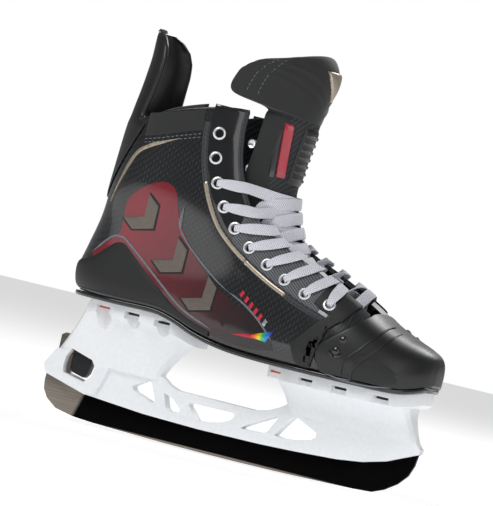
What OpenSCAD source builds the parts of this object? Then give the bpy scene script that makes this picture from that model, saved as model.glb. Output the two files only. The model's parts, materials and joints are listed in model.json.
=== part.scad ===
// One right-foot ice hockey skate. X runs to the toe, Y to the inner side, Z up.
// The lowest point of the blade is at Z = 0 and the box is centred on X and Y.

/* [Boot] */
// Length of the boot from the back of the heel to the toe tip
boot_len = 288; // [230:1:350]
// Width of the boot across the ball of the foot
boot_w = 103; // [84:1:124]
// Height of the boot from the sole to the front of the collar
boot_h = 160; // [130:1:195]
// Wall of the moulded outer shell
shell_t = 3; // [2:0.1:3.6]
// Thickness of the inner lining
liner_t = 5; // [3.5:0.1:6]
// Thickness of the collar foam
collar_t = 8; // [5:0.5:9]
// Thickness of the composite outsole
outsole_t = 3.6; // [2.6:0.1:5]
// Thickness of the board inside the shell
board_t = 2.4; // [1.5:0.1:3.2]
// Thickness of the removable footbed
footbed_t = 4; // [2.5:0.5:5]
// Wall of the toe cap
toe_wall = 3.8; // [3:0.1:4.5]
// Thickness of the moulded panels on the outside of the shell
panel_t = 1.2; // [0.8:0.1:2]
// Clearance between layers of the boot
gap = 0.3; // [0.2:0.05:0.4]

/* [Lacing] */
// Radius of the bore through each eyelet
eyelet_r = 3.1; // [2.6:0.1:3.4]
// Radius of the flange round each eyelet
eyelet_flange_r = 4.7; // [4.3:0.1:5.2]
// Wall of the eyelet barrel
eyelet_wall = 0.5; // [0.3:0.05:0.7]
// Radius of the gathered lace
lace_r = 1.6; // [1.2:0.1:1.8]
// Radius of the plastic tip on each end of the lace
aglet_r = 1.4; // [1:0.1:1.6]

/* [Tongue and tendon guard] */
// Thickness of the tongue padding
tongue_t = 9; // [6:0.5:10]
// Half-width of the free top of the tongue
tongue_flare = 38; // [30:1:40]
// Wall of the tendon guard
guard_t = 4.5; // [3:0.5:5]

/* [Holder and runner] */
// Height of the holder under the heel, from the ice
holder_h = 91.5; // [76:0.5:110]
// Thickness of the steel runner
steel_t = 3; // [2.5:0.1:4]
// Height of the runner inside the holder slot
steel_hidden = 5; // [3:0.5:7]
// Clearance between the runner and the sides of its slot
slot_gap = 0.15; // [0.1:0.05:0.3]
// Width of the holder's lower rail
rail_w = 11; // [9:0.5:14]
// Thickness of the holder's mounting flanges
flange_t = 9; // [7:0.5:10]
// Radius of the rivets and screws through the flanges
fastener_r = 2.2; // [1.6:0.1:2.6]
// Radius of the scalloped pocket round each fastener
scallop_r = 6; // [5.2:0.2:7]
// Radius of the trigger's cross pin
pin_r = 1.5; // [1.2:0.1:2]
// Radial clearance between the trigger and its pin
pin_gap = 0.08; // [0.04:0.02:0.1]
// Width of the trigger
trigger_w = 9; // [7:0.5:10]

/* [Hidden] */
$fn = 48;

// ---- frame: nominal outlines are drawn on a 288 x 103 boot and stretched by these ----
nominal_len = 288;
nominal_w = 103;
nominal_h = 160;
nominal_holder = 91.5;
kx = boot_len / nominal_len;
ky = boot_w / nominal_w;
kz = boot_h / nominal_h;
kh = holder_h / nominal_holder;

function boot(p) = [p[0] * kx, p[1] * ky, holder_h + (p[2] - nominal_holder) * kz];
function boot_all(ps) = [for (p = ps) boot(p)];
function bx(x) = x * kx;
function bz(z) = holder_h + (z - nominal_holder) * kz;
function side_pts(ps) = [for (p = ps) [bx(p[0]), bz(p[1])]];
function hold_pts(ps) = [for (p = ps) [p[0] * kx, p[1] * kh]];

// ---- smooth curve through a few points, and small helpers ----
function seg(t, p, i = 0) = (i >= len(p) - 2 || t < p[i + 1][0]) ? i : seg(t, p, i + 1);
function tangent(p, i) =
    let (a = max(i - 1, 0), b = min(i + 1, len(p) - 1)) (p[b][1] - p[a][1]) / (p[b][0] - p[a][0]);
function curve(t, p) =
    let (i = seg(t, p), h = p[i + 1][0] - p[i][0], u = min(max((t - p[i][0]) / h, 0), 1),
        m0 = tangent(p, i) * h, m1 = tangent(p, i + 1) * h)
    (2 * u * u * u - 3 * u * u + 1) * p[i][1] + (u * u * u - 2 * u * u + u) * m0
    + (3 * u * u - 2 * u * u * u) * p[i + 1][1] + (u * u * u - u * u) * m1;
function ramp(t, a, b) = let (u = min(max((t - a) / (b - a), 0), 1)) u * u * (3 - 2 * u);
function unit(v) = v / max(norm(v), 1e-9);
function seg_dist(p, a, b) =
    let (d = b - a, u = min(max((p - a) * d / (d * d), 0), 1)) norm(p - a - d * u);

// ---- boot outlines in nominal millimetres ----
// Underside of the outsole along the length
sole_line = [[-150, 91.5], [-90, 91.5], [-62, 91.5], [-45, 87.5], [-31, 82.5], [-14, 78.6], [4, 76.4],
    [35, 75.3],
    [105, 75.4], [130, 76], [141, 79], [150, 84]];
// Line where the two sides would meet over the instep, from collar to toe tip
crown = [[-16, 300], [-16, 262], [-17, 230], [-10, 205], [1, 188], [20, 172], [36, 163], [54, 154],
    [70, 147], [84, 138.5], [104, 125], [125, 116], [138, 111], [146, 106], [149, 99]];
crown_run = [for (i = [5:len(crown) - 1]) crown[i]];
// Back of the boot, height to X
back_line = [[85, -127], [91.5, -131], [96.5, -135.4], [103, -138.4], [113, -139.5], [127, -136.2],
    [154, -129.6], [180, -127.5], [216, -125.2], [239, -122.9], [257, -121], [275, -119.8], [296, -121]];
// Half-width along the length before the rounding at heel and instep
half_line = [[-140, 36], [-100, 37], [-60, 37], [-20, 40], [20, 46], [60, 51], [90, 51.2], [110, 48],
    [128, 40.5], [140, 29], [146, 18], [149, 5]];
// Front edge of the shell, slice height to X
throat_line = [[91, 99], [130, 99], [135, 89], [140, 76], [144, 64], [149, 50], [156, 32], [164, 16],
    [173, 2], [182, -8], [204, -20], [230, -26.5], [251, -26.5]];
// Top of the collar along the length
collar_line = [[-150, 228], [-106, 228], [-97, 231], [-75, 240], [-50, 247], [-31, 250], [0, 250]];
heel_round = 38;
ankle_swell = 7.5;
arch_power = 3;
slice_low = 91.5;
slice_flat = 150;
slice_shear = 200;
slice_top = 250;

function sole_z(x) = curve(x, sole_line);
function crown_z(x) = x < crown_run[0][0] ? crown_run[0][1] : curve(x, crown_run);
function crown_dist(x, z) =
    min([for (i = [0:len(crown) - 2]) seg_dist([x, z], crown[i], crown[i + 1])]);
function tuck(x, z) = 1 - 0.1 * (1 - ramp(z - sole_z(x), 0, 16));
function half_w(x, z) =
    (curve(x, half_line) + ankle_swell * ramp(z, 120, 185) * (1 - ramp(x, -15, 25))) * tuck(x, z);
function side_w(x, z) =
    let (reach = x > 0 ? 0.9 * (crown_z(x) - sole_z(x)) : 95,
        e = min(crown_dist(x, z) / reach, 1),
        d = max(x - curve(z, back_line), 0) / heel_round,
        arch = pow(1 - pow(1 - e, arch_power), 1 / arch_power),
        heel = d < 1 ? sqrt(1 - (1 - d) * (1 - d)) : 1)
    half_w(x, z) * arch * heel;
function side_normal(x, z) =
    unit([side_w(x - 0.5, z) - side_w(x + 0.5, z), 1, side_w(x, z - 0.5) - side_w(x, z + 0.5)]);
function slice_z(x, h) =
    h < slice_flat ? h - (slice_low - sole_z(x)) * (slice_flat - h) / (slice_flat - slice_low)
    : h < slice_shear ? h
    : slice_shear + (h - slice_shear) * (curve(x, collar_line) - slice_shear) / (slice_top - slice_shear);

// ---- a wall that wraps the heel from one throat edge to the other ----
// a runs from -1 at the lateral front edge through 0 at the back to 1 at the medial front edge
function wall_point(h, a, back_off, x_max = 200) =
    let (x0 = curve(slice_z(-120, h), back_line),
        x1 = min(curve(h, throat_line) - back_off, x_max),
        x = x0 + (x1 - x0) * a * a,
        z = slice_z(x, h))
    [x, (a < 0 ? -1 : 1) * side_w(x, z), z];
function wall_normal(h, a, back_off, x_max) =
    let (e = 0.01,
        da = wall_point(h, a + e, back_off, x_max) - wall_point(h, a - e, back_off, x_max),
        dh = wall_point(h + 0.5, a, back_off, x_max) - wall_point(h - 0.5, a, back_off, x_max))
    unit(cross(dh, da));
function wall_offset(h, a, back_off, x_max, depth) =
    boot(wall_point(h, a, back_off, x_max)) - wall_normal(h, a, back_off, x_max) * depth;

// A solid's faces must all turn the same way, so they are reversed where turn is positive
function turned(faces, turn) = turn > 0 ? [for (f = faces) [f[2], f[1], f[0]]] : faces;
// Two grids of points with the same rows and columns become one closed skin
module skin(outer, inner) {
    mid = floor(len(outer) / 2) - 1;
    col = floor(len(outer[0]) / 2) - 1;
    corner = outer[mid][col];
    turn = cross(outer[mid][col + 1] - corner, outer[mid + 1][col] - corner) * (corner - inner[mid][col]);
    rows = len(outer);
    cols = len(outer[0]);
    n = rows * cols;
    pts = concat([for (r = outer) for (p = r) p], [for (r = inner) for (p = r) p]);
    faces = concat(
        [for (i = [0:rows - 2]) for (j = [0:cols - 2])
            let (k = i * cols + j) each [[k, k + 1, k + cols + 1], [k, k + cols + 1, k + cols]]],
        [for (i = [0:rows - 2]) for (j = [0:cols - 2])
            let (k = n + i * cols + j) each [[k, k + cols + 1, k + 1], [k, k + cols, k + cols + 1]]],
        [for (j = [0:cols - 2]) each [[j, n + j, n + j + 1], [j, n + j + 1, j + 1]]],
        [for (j = [0:cols - 2]) let (k = (rows - 1) * cols + j)
            each [[k, k + 1, n + k + 1], [k, n + k + 1, n + k]]],
        [for (i = [0:rows - 2]) let (k = i * cols)
            each [[k, k + cols, n + k + cols], [k, n + k + cols, n + k]]],
        [for (i = [0:rows - 2]) let (k = i * cols + cols - 1)
            each [[k, n + k, n + k + cols], [k, n + k + cols, k + cols]]]);
    polyhedron(points = pts, faces = turned(faces, turn), convexity = 8);
}

// A row of closed rings becomes one solid with flat ends
function total(vs) = [for (k = [0:2]) [for (v = vs) v[k]] * [for (v = vs) 1]];
function middle(ring) = total(ring) / len(ring);
function end_strip(m) = [for (j = [0:ceil(m / 2) - 2]) let (b = j + 1, c = m - 2 - j, d = m - 1 - j)
    each b == c ? [[j, b, d]] : [[j, b, c], [j, c, d]]];
module loft(rings) {
    m = len(rings[0]);
    k = len(rings);
    last = (k - 1) * m;
    start = rings[0];
    centre = middle(start);
    facing = total([for (j = [0:m - 1]) cross(start[j] - centre, start[(j + 1) % m] - centre)]);
    turn = facing * (middle(rings[1]) - centre);
    faces = concat(
        [for (t = end_strip(m)) [t[2], t[1], t[0]]],
        [for (t = end_strip(m)) [t[0] + last, t[1] + last, t[2] + last]],
        [for (i = [0:k - 2]) for (j = [0:m - 1])
            let (a = i * m + j, b = i * m + (j + 1) % m)
            each [[a, b, b + m], [a, b + m, a + m]]]);
    polyhedron(points = [for (r = rings) for (p = r) p], faces = turned(faces, turn), convexity = 8);
}

wall_cols = 18;
module wall(h_rows, depth_out, depth_in, back_off = 0, x_max = 200) {
    cols = [for (j = [-wall_cols:wall_cols]) j / wall_cols];
    skin(
        [for (h = h_rows) [for (a = cols) wall_offset(h, a, back_off, x_max, depth_out)]],
        [for (h = h_rows) [for (a = cols) wall_offset(h, a, back_off, x_max, depth_in)]]);
}
// A panel on one side only, between two heights off the surface
function side_pt(x, h, side, lift) =
    let (z = slice_z(x, h), n = side_normal(x, z))
    boot([x, side * side_w(x, z), z]) + [n[0], side * n[1], n[2]] * lift;
module side_panel(xs, hs, side, low, high) {
    skin(
        [for (h = hs) [for (x = xs) side_pt(x, h, side, side < 0 ? high : low)]],
        [for (h = hs) [for (x = xs) side_pt(x, h, side, side < 0 ? low : high)]]);
}

module across(w = 140) {
    rotate([90, 0, 0]) linear_extrude(height = w, center = true) children();
}
// Places children on the side wall at (x, z), with +Z along its outward normal
module on_side(p, side) {
    n = side_normal(p[0], p[1]);
    y = side_w(p[0], p[1]);
    b = boot([p[0], side * y, p[1]]);
    translate(b) rotate([0, acos(n[2]), atan2(side * n[1], n[0])]) children();
}

// ---- outer shell ----
shell_rows = [95.6, 98, 102, 107, 112, 117, 122, 127, 131, 135, 140, 145, 150, 156, 163, 171, 180, 190,
    202, 214, 226, 238, 250];
toe_joint = [[76, 60], [76, 78], [68.5, 91], [69.5, 97], [92.5, 118.5], [97.5, 125], [97.5, 150],
    [170, 150], [170, 60]];
eyelets = [[-42.8, 229.3], [-40.8, 211.3], [-34.9, 193.9], [-25.6, 178.1], [-13.7, 164.8],
    [0.5, 153.6], [16.6, 144.4], [33.2, 136.7], [51.2, 130.1], [70.6, 126.3]];
eyelet_barrel_r = eyelet_r + eyelet_wall;
hole_gap = 0.05;
eyelet_hole_gap = 0.12;

module eyelet_holes(side) {
    for (p = eyelets) on_side(p, side)
        cylinder(r = eyelet_barrel_r + eyelet_hole_gap, h = 24, center = true, $fn = 20);
}
module shell() {
    color([0.07, 0.07, 0.08]) difference() {
        wall(shell_rows, 0, shell_t);
        across() polygon(side_pts(toe_joint));
        for (side = [-1, 1]) eyelet_holes(side);
    }
}

// ---- panels on the outside of the shell ----
counter_top = [[-160, 121], [-122, 122], [-107, 135.6], [-100, 137], [-94, 134.5], [-64.5, 112],
    [-41, 97], [-14, 90]];
counter_outline = concat([[-160, 80]], counter_top, [[-14, 80]]);
above_counter = concat(counter_top, [[-14, 160], [-160, 160]]);
counter_rows = [96, 100, 104, 108, 112, 116, 120, 125, 130, 135, 140];
module heel_counter() {
    color([0.12, 0.12, 0.13]) difference() {
        wall(counter_rows, -gap / 2 - panel_t, -gap / 2, 0, -16);
        across() polygon(side_pts(above_counter));
    }
}

ankle_outline = [[-88, 161], [-83, 170], [-71, 174], [-64, 163], [-42, 132], [-8, 111], [4, 101],
    [-7, 92.5], [-38, 98], [-60, 115], [-88, 139]];
ankle_rows = [102, 108, 115, 122, 129, 136, 143, 150, 157, 164, 171, 178];
module ankle_panels() {
    color([0.5, 0.47, 0.44]) for (side = [-1, 1]) difference() {
        intersection() {
            side_panel([for (x = [-94:8:10]) x], ankle_rows, side, gap / 2, gap / 2 + panel_t);
            across() polygon(side_pts(ankle_outline));
        }
        across() offset(delta = gap) polygon(side_pts(counter_outline));
    }
}

// ---- lining, collar foam and what lies under the foot ----
liner_out = shell_t + 3 * gap;
liner_in = liner_out + liner_t;
liner_back = 30;
// Front edge of the lining, well behind the eyelets
liner_front = [[-54, 216], [-52, 192], [-42, 170], [-27, 152], [-10, 140], [10, 130], [30, 122], [50, 115],
    [64, 109], [64, 60], [200, 60], [200, 260], [-54, 260]];
liner_rows = [104.5, 108, 113, 118, 123, 128, 133, 139, 145, 152, 160, 169, 179, 190, 200, 210];
module liner() {
    color([0.2, 0.2, 0.22]) difference() {
        wall(liner_rows, liner_out, liner_in, liner_back, 80);
        across() polygon(side_pts(liner_front));
    }
}
collar_rows = [211.5, 220, 230, 240, 248, 251];
module collar_foam() {
    color([0.1, 0.1, 0.11])
        wall(collar_rows, liner_out, liner_out + collar_t, liner_back);
}

plate_x = [-134, -131, -126, -118, -108, -96, -80, -62, -52, -44, -36, -28, -18, -6, 8, 24, 42, 62, 78,
    94, 110, 118, 125, 131, 136, 140, 143, 145.5];
function plate_w(x, z, inset) =
    let (d = max(x - curve(z + 6, back_line), 0) / heel_round)
    max(half_w(x, z) * (d < 1 ? sqrt(1 - (1 - d) * (1 - d)) : 1) - inset, 1);
function plate_ring(x, z0, z1, inset) =
    let (w = plate_w(x, sole_z(x) + 3, inset) * ky, zb = bz(sole_z(x)))
    [[bx(x), -w, zb + z0], [bx(x), w, zb + z0], [bx(x), w, zb + z1], [bx(x), -w, zb + z1]];
// A plate that follows the sole line between two heights above the underside of the sole
module sole_plate(z0, z1, inset, x_from, x_to) {
    xs = [for (x = plate_x) if (x > x_from && x < x_to) x];
    loft([for (x = xs) plate_ring(x, z0, z1, inset)]);
}
module outsole() {
    color([0.16, 0.16, 0.17]) difference() {
        sole_plate(0, outsole_t, -0.6, -136, 150);
        fastener_holes(fastener_r + hole_gap);
    }
}
board_z = outsole_t + gap;
module insole_board() {
    color([0.45, 0.4, 0.33]) difference() {
        sole_plate(board_z, board_z + board_t, shell_t + 3.2, -130, 128);
        fastener_holes(fastener_r + hole_gap);
    }
}
burr_h = 1.2;
footbed_z = board_z + board_t + burr_h + 4 * gap;
module footbed() {
    color([0.3, 0.3, 0.32])
        sole_plate(footbed_z, footbed_z + footbed_t, shell_t + liner_t + 2.4, -121, 122);
}

// ---- toe cap ----
toe_x = [62, 70, 78, 86, 94, 102, 110, 118, 125, 131, 136, 140, 143, 145.5, 147.3, 148.5];
arch_steps = 12;
function toe_ring(x, out) =
    let (zs = sole_z(x + out * ramp(x, 120, 148)) + outsole_t + gap, top = crown_z(x) + out)
    [for (j = [0:arch_steps])
        let (f = 180 * j / arch_steps, s = pow(abs(sin(f)), 2 / arch_power),
            c = pow(abs(cos(f)), 2 / arch_power), z = zs + (top - zs) * s)
        boot([x + out * ramp(x, 120, 148), (f < 90 ? -1 : 1) * c * max(half_w(x, z) + out, 0.6), z])];
module toe_solid(out, x_last) {
    loft([for (x = toe_x) if (x <= x_last) toe_ring(x, out)]);
}
cap_lift = 0.9;
cap_edge = 2.5;
module toe_cap() {
    color([0.09, 0.09, 0.1]) difference() {
        intersection() {
            toe_solid(cap_lift, 149);
            across() offset(delta = -gap) polygon(side_pts(toe_joint));
        }
        difference() {
            toe_solid(cap_lift - toe_wall, 145.6);
            across() polygon(side_pts([[150, 60], [150, 70], [138, 76], [138, 60]]));
        }
        translate([0, 0, -cap_edge]) toe_solid(cap_lift - toe_wall, 145.6);
    }
}
cap_rivets = [[88.4, 105.1], [85.4, 96.4]];
rivet_head = 0.8;
cap_rivet_r = 2.6;
module toe_cap_rivets() {
    color([0.05, 0.05, 0.06])
        for (side = [-1, 1], p = cap_rivets) on_side(p, side)
            translate([0, 0, cap_lift + 0.9]) cylinder(r = cap_rivet_r, h = rivet_head);
}

// ---- straps from the last eyelet down to the sole, one on each side ----
strap_outline = [[78, 124], [67, 113.5], [55, 99], [51.5, 92], [56, 83], [60, 80.5], [68, 80.5],
    [62, 88], [61.5, 94], [72, 107], [84, 118.5]];
strap_slot = [[67, 107.5], [60, 99.5], [57.5, 93], [60.5, 86.5], [62.5, 86.8], [59.8, 93],
    [62.2, 98.4], [69, 106]];
strap_rows = [96, 100, 104, 109, 114, 119, 124, 129, 134];
module toe_straps() {
    color([0.1, 0.1, 0.1]) for (side = [-1, 1]) intersection() {
        side_panel([for (x = [48:6:90]) x], strap_rows, side, gap / 2, gap / 2 + panel_t);
        across() difference() {
            polygon(side_pts(strap_outline));
            polygon(side_pts(strap_slot));
        }
    }
}

// ---- eyestays: strips that follow each throat edge ----
edge_heights = [131, 135, 139, 143, 147, 151, 156, 161, 166, 171, 177, 183, 190, 198, 206, 215, 225,
    238, 249];
stay_w = 27;
stay_steps = 5;
stay_lift = 0.5;
function edge_point(h) = let (x = curve(h, throat_line)) [x, slice_z(x, h)];
function edge_inward(h) =
    let (d = edge_point(h + 1) - edge_point(h - 1)) unit([-d[1], d[0]]);
function stay_width(h) = stay_w - 6 * (1 - ramp(h, 131, 150));
function stay_pt(h, t, side, depth) =
    let (p = edge_point(h) + edge_inward(h) * t * stay_width(h), n = side_normal(p[0], p[1]))
    boot([p[0], side * side_w(p[0], p[1]), p[1]]) + [n[0], side * n[1], n[2]] * depth;
module eyestay(side) {
    lo = stay_lift;
    hi = stay_lift + panel_t;
    t_of = [for (j = [0:stay_steps]) 0.02 + 0.98 * j / stay_steps];
    difference() {
        skin(
            [for (h = edge_heights) [for (t = t_of) stay_pt(h, t, side, side < 0 ? lo : hi)]],
            [for (h = edge_heights) [for (t = t_of) stay_pt(h, t, side, side < 0 ? hi : lo)]]);
        eyelet_holes(side);
        across() offset(delta = gap) polygon(side_pts(strap_outline));
        across() offset(delta = gap) polygon(side_pts(toe_joint));
    }
}
module lateral_eyestay() {
    color([0.05, 0.05, 0.05]) eyestay(-1);
}
module medial_eyestay() {
    color([0.05, 0.05, 0.05]) eyestay(1);
}
eyelet_back = 1;
module eyelet_row(side) {
    rim = 0.9;
    top = stay_lift + panel_t;
    for (p = eyelets) on_side(p, side) rotate_extrude()
        polygon([[eyelet_r, -shell_t - eyelet_back], [eyelet_barrel_r, -shell_t - eyelet_back],
            [eyelet_barrel_r, top + 0.15], [eyelet_flange_r, top + 0.15], [eyelet_flange_r - 0.4, top + rim],
            [eyelet_barrel_r, top + rim + 0.25], [eyelet_r, top + rim]]);
}
module lateral_eyelets() {
    color([0.8, 0.8, 0.82]) eyelet_row(-1);
}
module medial_eyelets() {
    color([0.8, 0.8, 0.82]) eyelet_row(1);
}

// ---- tongue: arches across a centre line, [x, z, facing angle, half-width, depth, thickness] ----
lower_arches = [[93, 117, 62, 20, 8, 4], [80, 126.5, 62, 25, 12, 7], [64, 135, 62, 28, 15, 9],
    [49, 141.5, 60, 30, 18, 9], [36, 149, 52, 31, 22, 9], [26, 160, 36, 30, 26, 9],
    [18, 175, 22, 28, 30, 9], [13, 189, 10, 26.5, 32, 9], [11, 199, 3, 25.5, 33, 9]];
upper_arches = [[11, 203, 0, 24.5, 33, 9], [13, 225, -4, 24.5, 33, 9], [16, 246, -6, 24.5, 34, 9],
    [17, 254.5, -7, 24.5, 36, 9], [17.5, 257, -7, 1, 60, 9], [20, 270, -6, 1, 61, 9],
    [22, 283, -1, 0.96, 56, 9], [21.5, 292, 4, 0.9, 48, 8.5], [18, 299, 12, 0.8, 39, 7],
    [13, 303, 20, 0.68, 30, 4]];
arc_steps = 8;
function arch_w(s) = s[3] > 1 ? s[3] : s[3] * tongue_flare;
function arch_pt(s, f, off) =
    let (drop = s[4] * (1 - cos(f)) - off, n = [cos(s[2]), sin(s[2])])
    boot([s[0] - n[0] * drop, (arch_w(s) + off) * sin(f), s[1] - n[1] * drop]);
function arch_inner(s, f) =
    let (t = s[5] * tongue_t / 9, drop = t + (s[4] - t) * (1 - cos(f)), n = [cos(s[2]), sin(s[2])])
    boot([s[0] - n[0] * drop, (arch_w(s) - t) * sin(f), s[1] - n[1] * drop]);
function arch_ring(s) = concat(
    [for (j = [-arc_steps:arc_steps]) arch_pt(s, 90 * j / arc_steps, 0)],
    [for (j = [arc_steps:-1:-arc_steps]) arch_inner(s, 90 * j / arc_steps)]);
module tongue_lower() {
    color([0.08, 0.08, 0.09]) loft([for (s = lower_arches) arch_ring(s)]);
}
module tongue_upper() {
    color([0.08, 0.08, 0.09]) difference() {
        loft([for (s = upper_arches) arch_ring(s)]);
        tongue_recess(0);
    }
}
// A shallow band across the front of the upper tongue that the insert and badge sit in
insert_arches = [for (i = [0, 1, 2]) upper_arches[i]];
badge_arches = [for (i = [5, 6, 7]) upper_arches[i]];
recess_t = 1.6;
function patch(arches, f_from, f_to, off) =
    [for (s = arches) [for (j = [0:6]) arch_pt(s, f_from + (f_to - f_from) * j / 6, off)]];
module tongue_recess(shrink) {
    skin(patch(insert_arches, -38, 38, -recess_t), patch(insert_arches, -38, 38, 4));
    skin(patch(badge_arches, -24, 24, -recess_t), patch(badge_arches, -24, 24, 4));
}
module tongue_insert() {
    color([0.55, 0.05, 0.08])
        skin(patch(insert_arches, -36, 36, -recess_t + gap), patch(insert_arches, -36, 36, 0.6));
}
module tongue_badge() {
    color([0.42, 0.35, 0.27])
        skin(patch(badge_arches, -22, 22, -recess_t + gap), patch(badge_arches, -22, 22, 0.6));
}

// ---- tendon guard: [z, half-width, depth] ----
guard_rows = [[231.5, 35, 19], [238, 34, 19], [246, 32.5, 19.5], [256, 31, 19.5], [266, 30, 19.5],
    [276, 28, 19], [284, 25, 17], [290, 20, 13], [293.5, 13, 8]];
guard_steps = 9;
function guard_pt(r, f, t) =
    boot([curve(r[0], back_line) + t + (r[2] - t) * (1 - cos(f)), (r[1] - t) * sin(f), r[0]]);
module tendon_guard() {
    color([0.08, 0.08, 0.09]) skin(
        [for (r = guard_rows) [for (j = [-guard_steps:guard_steps]) guard_pt(r, 90 * j / guard_steps, 0)]],
        [for (r = guard_rows) [for (j = [-guard_steps:guard_steps])
            guard_pt(r, 90 * j / guard_steps, guard_t)]]);
}
base_outline = [[-160, 166], [-127, 166], [-99, 224], [-99, 227.4], [-160, 227.4]];
base_rows = [163, 172, 182, 194, 208, 222, 236, 250];
module guard_base() {
    color([0.08, 0.08, 0.09]) intersection() {
        wall(base_rows, -gap / 2 - panel_t, -gap / 2, 0);
        across() polygon(side_pts(base_outline));
    }
}
module guard_pull() {
    color([0.06, 0.06, 0.06])
        translate([bx(-119), 0, bz(294)]) linear_extrude(height = 2.2 * kz, scale = 0.7)
            square([3.4, 12], center = true);
}

// ---- blade holder ----
rail_top = [[-148, 37], [-140, 50], [-60, 50], [-56, 47], [-50, 43], [-42, 40.3], [20, 40], [30, 42.3],
    [38, 46], [44, 50], [140, 50], [149, 40.5]];
rail_bottom = [[148.5, 37], [126, 27], [108, 22.3], [89, 19.8], [58, 18], [30, 16.9], [-20, 16.4],
    [-64, 17.5], [-111, 21], [-144.6, 29.8], [-147, 33.5]];
windows = [
    [[-77, 35], [-75, 36.9], [-64.7, 43.5], [-62, 40], [-57, 28.8], [-58.5, 27], [-74.6, 32]],
    [[-51.5, 36.5], [-50, 32], [-47.7, 26], [-45, 24.2], [-36.4, 24.3], [-36.5, 27.2], [-43, 33]],
    [[-31, 32], [-30, 33.6], [4.5, 34], [6, 32.4], [4, 29], [-2, 25.8], [-12, 23.2], [-22, 22.5]],
    [[12.5, 24.6], [13.8, 26], [18, 28.7], [37.6, 39.4], [39, 38], [33.4, 27.5], [30.8, 25.2]],
    [[39, 25.6], [40, 27.4], [49.4, 41], [52.2, 42.4], [69.5, 35], [70.2, 31.6], [67, 29], [56, 26.2],
        [45, 25.1]]];
rear_tower = [[44, -143, -57, 9], [50, -140, -56, 9.4], [57, -136.5, -52.5, 10.2], [64, -133, -48, 12],
    [71, -129.5, -43.5, 15], [78, -126, -39, 19], [84, -123.5, -36, 23], [92, -121.5, -34, 25.5]];
front_tower = [[44, 47, 146, 9], [50, 43, 143, 9.6], [56, 40, 140.5, 12], [62, 36, 138, 17],
    [68, 30, 137, 23], [76, 27, 137, 28]];
tower_round = 5;
function tower_ring(t) =
    let (xm = (t[1] + t[2]) / 2, xr = (t[2] - t[1]) / 2)
    [for (j = [0:15]) let (f = 360 * (j + 0.5) / 16, c = cos(f), s = sin(f))
        [(xm + xr * sign(c) * pow(abs(c), 2 / tower_round)) * kx,
            t[3] * ky * sign(s) * pow(abs(s), 2 / tower_round), t[0] * kh]];
module tower(levels) {
    loft([for (t = levels) tower_ring(t)]);
}
rear_flange = [[-123, 0], [-121, 14], [-114, 22], [-104, 26], [-90, 28], [-74, 28.5], [-58, 27.5],
    [-46, 24], [-38, 19], [-33, 12], [-31.5, 0]];
front_flange = [[26, 0], [27.5, 18], [33, 26], [44, 31], [60, 36], [80, 39], [98, 39], [114, 36],
    [128, 30], [138, 22], [145, 12], [148, 0]];
function mirrored(ps) = concat(ps, [for (i = [len(ps) - 2:-1:1]) [ps[i][0], -ps[i][1]]]);
function sole_pts(rise) = [for (x = concat([-150], plate_x, [156])) [bx(x), bz(sole_z(x)) + rise]];
sole_above = concat(sole_pts(0), [[200, 400], [-200, 400], [-200, bz(sole_line[0][1])]]);
flange_band = concat(sole_pts(5), [for (i = [len(sole_pts(0)) - 1:-1:0]) sole_pts(-flange_t)[i]]);
module flange(outline) {
    intersection() {
        translate([0, 0, bz(50)]) linear_extrude(height = 60 * kz)
            polygon([for (p = mirrored(outline)) [bx(p[0]), p[1] * ky]]);
        across() polygon(flange_band);
    }
}
screw_places = [[-81, 24], [-57, 23.5], [62.9, 32], [89.9, 34.5], [119.9, 28]];
rivet_places = [[-105.4, 21], [35.6, 23]];
plate_under = 3.5;
scallop_deep = 16;
module at_fastener(p, side) {
    translate([bx(p[0]), side * p[1] * ky, bz(sole_z(p[0]))]) children();
}
module fastener_holes(r) {
    for (side = [-1, 1], p = concat(screw_places, rivet_places)) at_fastener(p, side)
        translate([0, 0, -20]) cylinder(r = r, h = 40);
}
module scallops() {
    for (side = [-1, 1], p = concat(screw_places, rivet_places)) at_fastener(p, side)
        translate([0, 0, -scallop_deep - plate_under]) {
            cylinder(r = scallop_r, h = scallop_deep);
            translate([-scallop_r, side < 0 ? -20 : 0, 0]) cube([2 * scallop_r, 20, scallop_deep]);
        }
}

pin_x = -119;
pin_z = 68;
trigger_hole = [[-131.5, 33.4], [-132.4, 38], [-131.8, 45], [-128.6, 51.9], [-111, 47], [-107.5, 42],
    [-109, 35], [-114, 29.6]];
lug_slot = [[-143, 20], [-143, 62.5], [-128.5, 62.5], [-128.5, 20]];
trigger_pocket = [[-128.8, 40], [-128.8, 73], [-108, 73], [-106, 40]];
post_slot = [[113, 15], [113, 60.5], [133, 60.5], [133, 15]];
module runner_slot() {
    w = steel_t + 2 * slot_gap;
    across(w) polygon(concat(hold_pts([[-160, 10], [160, 10]]),
        [for (i = [0:len(rail_bottom) - 1])
            [rail_bottom[i][0] * kx, rail_bottom[i][1] * kh + steel_hidden + gap]]));
    across(w) polygon(hold_pts(lug_slot));
    across(w) polygon(hold_pts(post_slot));
}
heel_block_w = 18;
module blade_holder() {
    color([0.93, 0.93, 0.92]) difference() {
        union() {
            across(rail_w) polygon(hold_pts(concat(rail_top, rail_bottom)));
            intersection() {
                across(heel_block_w * ky) polygon(hold_pts([[-148, 37], [-140, 50], [-96, 50], [-96, 26],
                    [-111, 21], [-144.6, 29.8], [-147, 33.5]]));
                across() polygon(hold_pts([[-150, 20], [-150, 60], [-92, 60], [-104, 20]]));
            }
            tower(rear_tower);
            tower(front_tower);
            flange(rear_flange);
            flange(front_flange);
        }
        across() polygon(sole_above);
        scallops();
        fastener_holes(fastener_r + hole_gap);
        runner_slot();
        for (w = windows) across() polygon(hold_pts(w));
        across() polygon(hold_pts(trigger_hole));
        across(trigger_w + 2 * gap) polygon(hold_pts(trigger_pocket));
        translate([pin_x * kx, 0, pin_z * kh]) rotate([90, 0, 0])
            cylinder(r = pin_r, h = pin_reach, center = true);
    }
}
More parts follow.
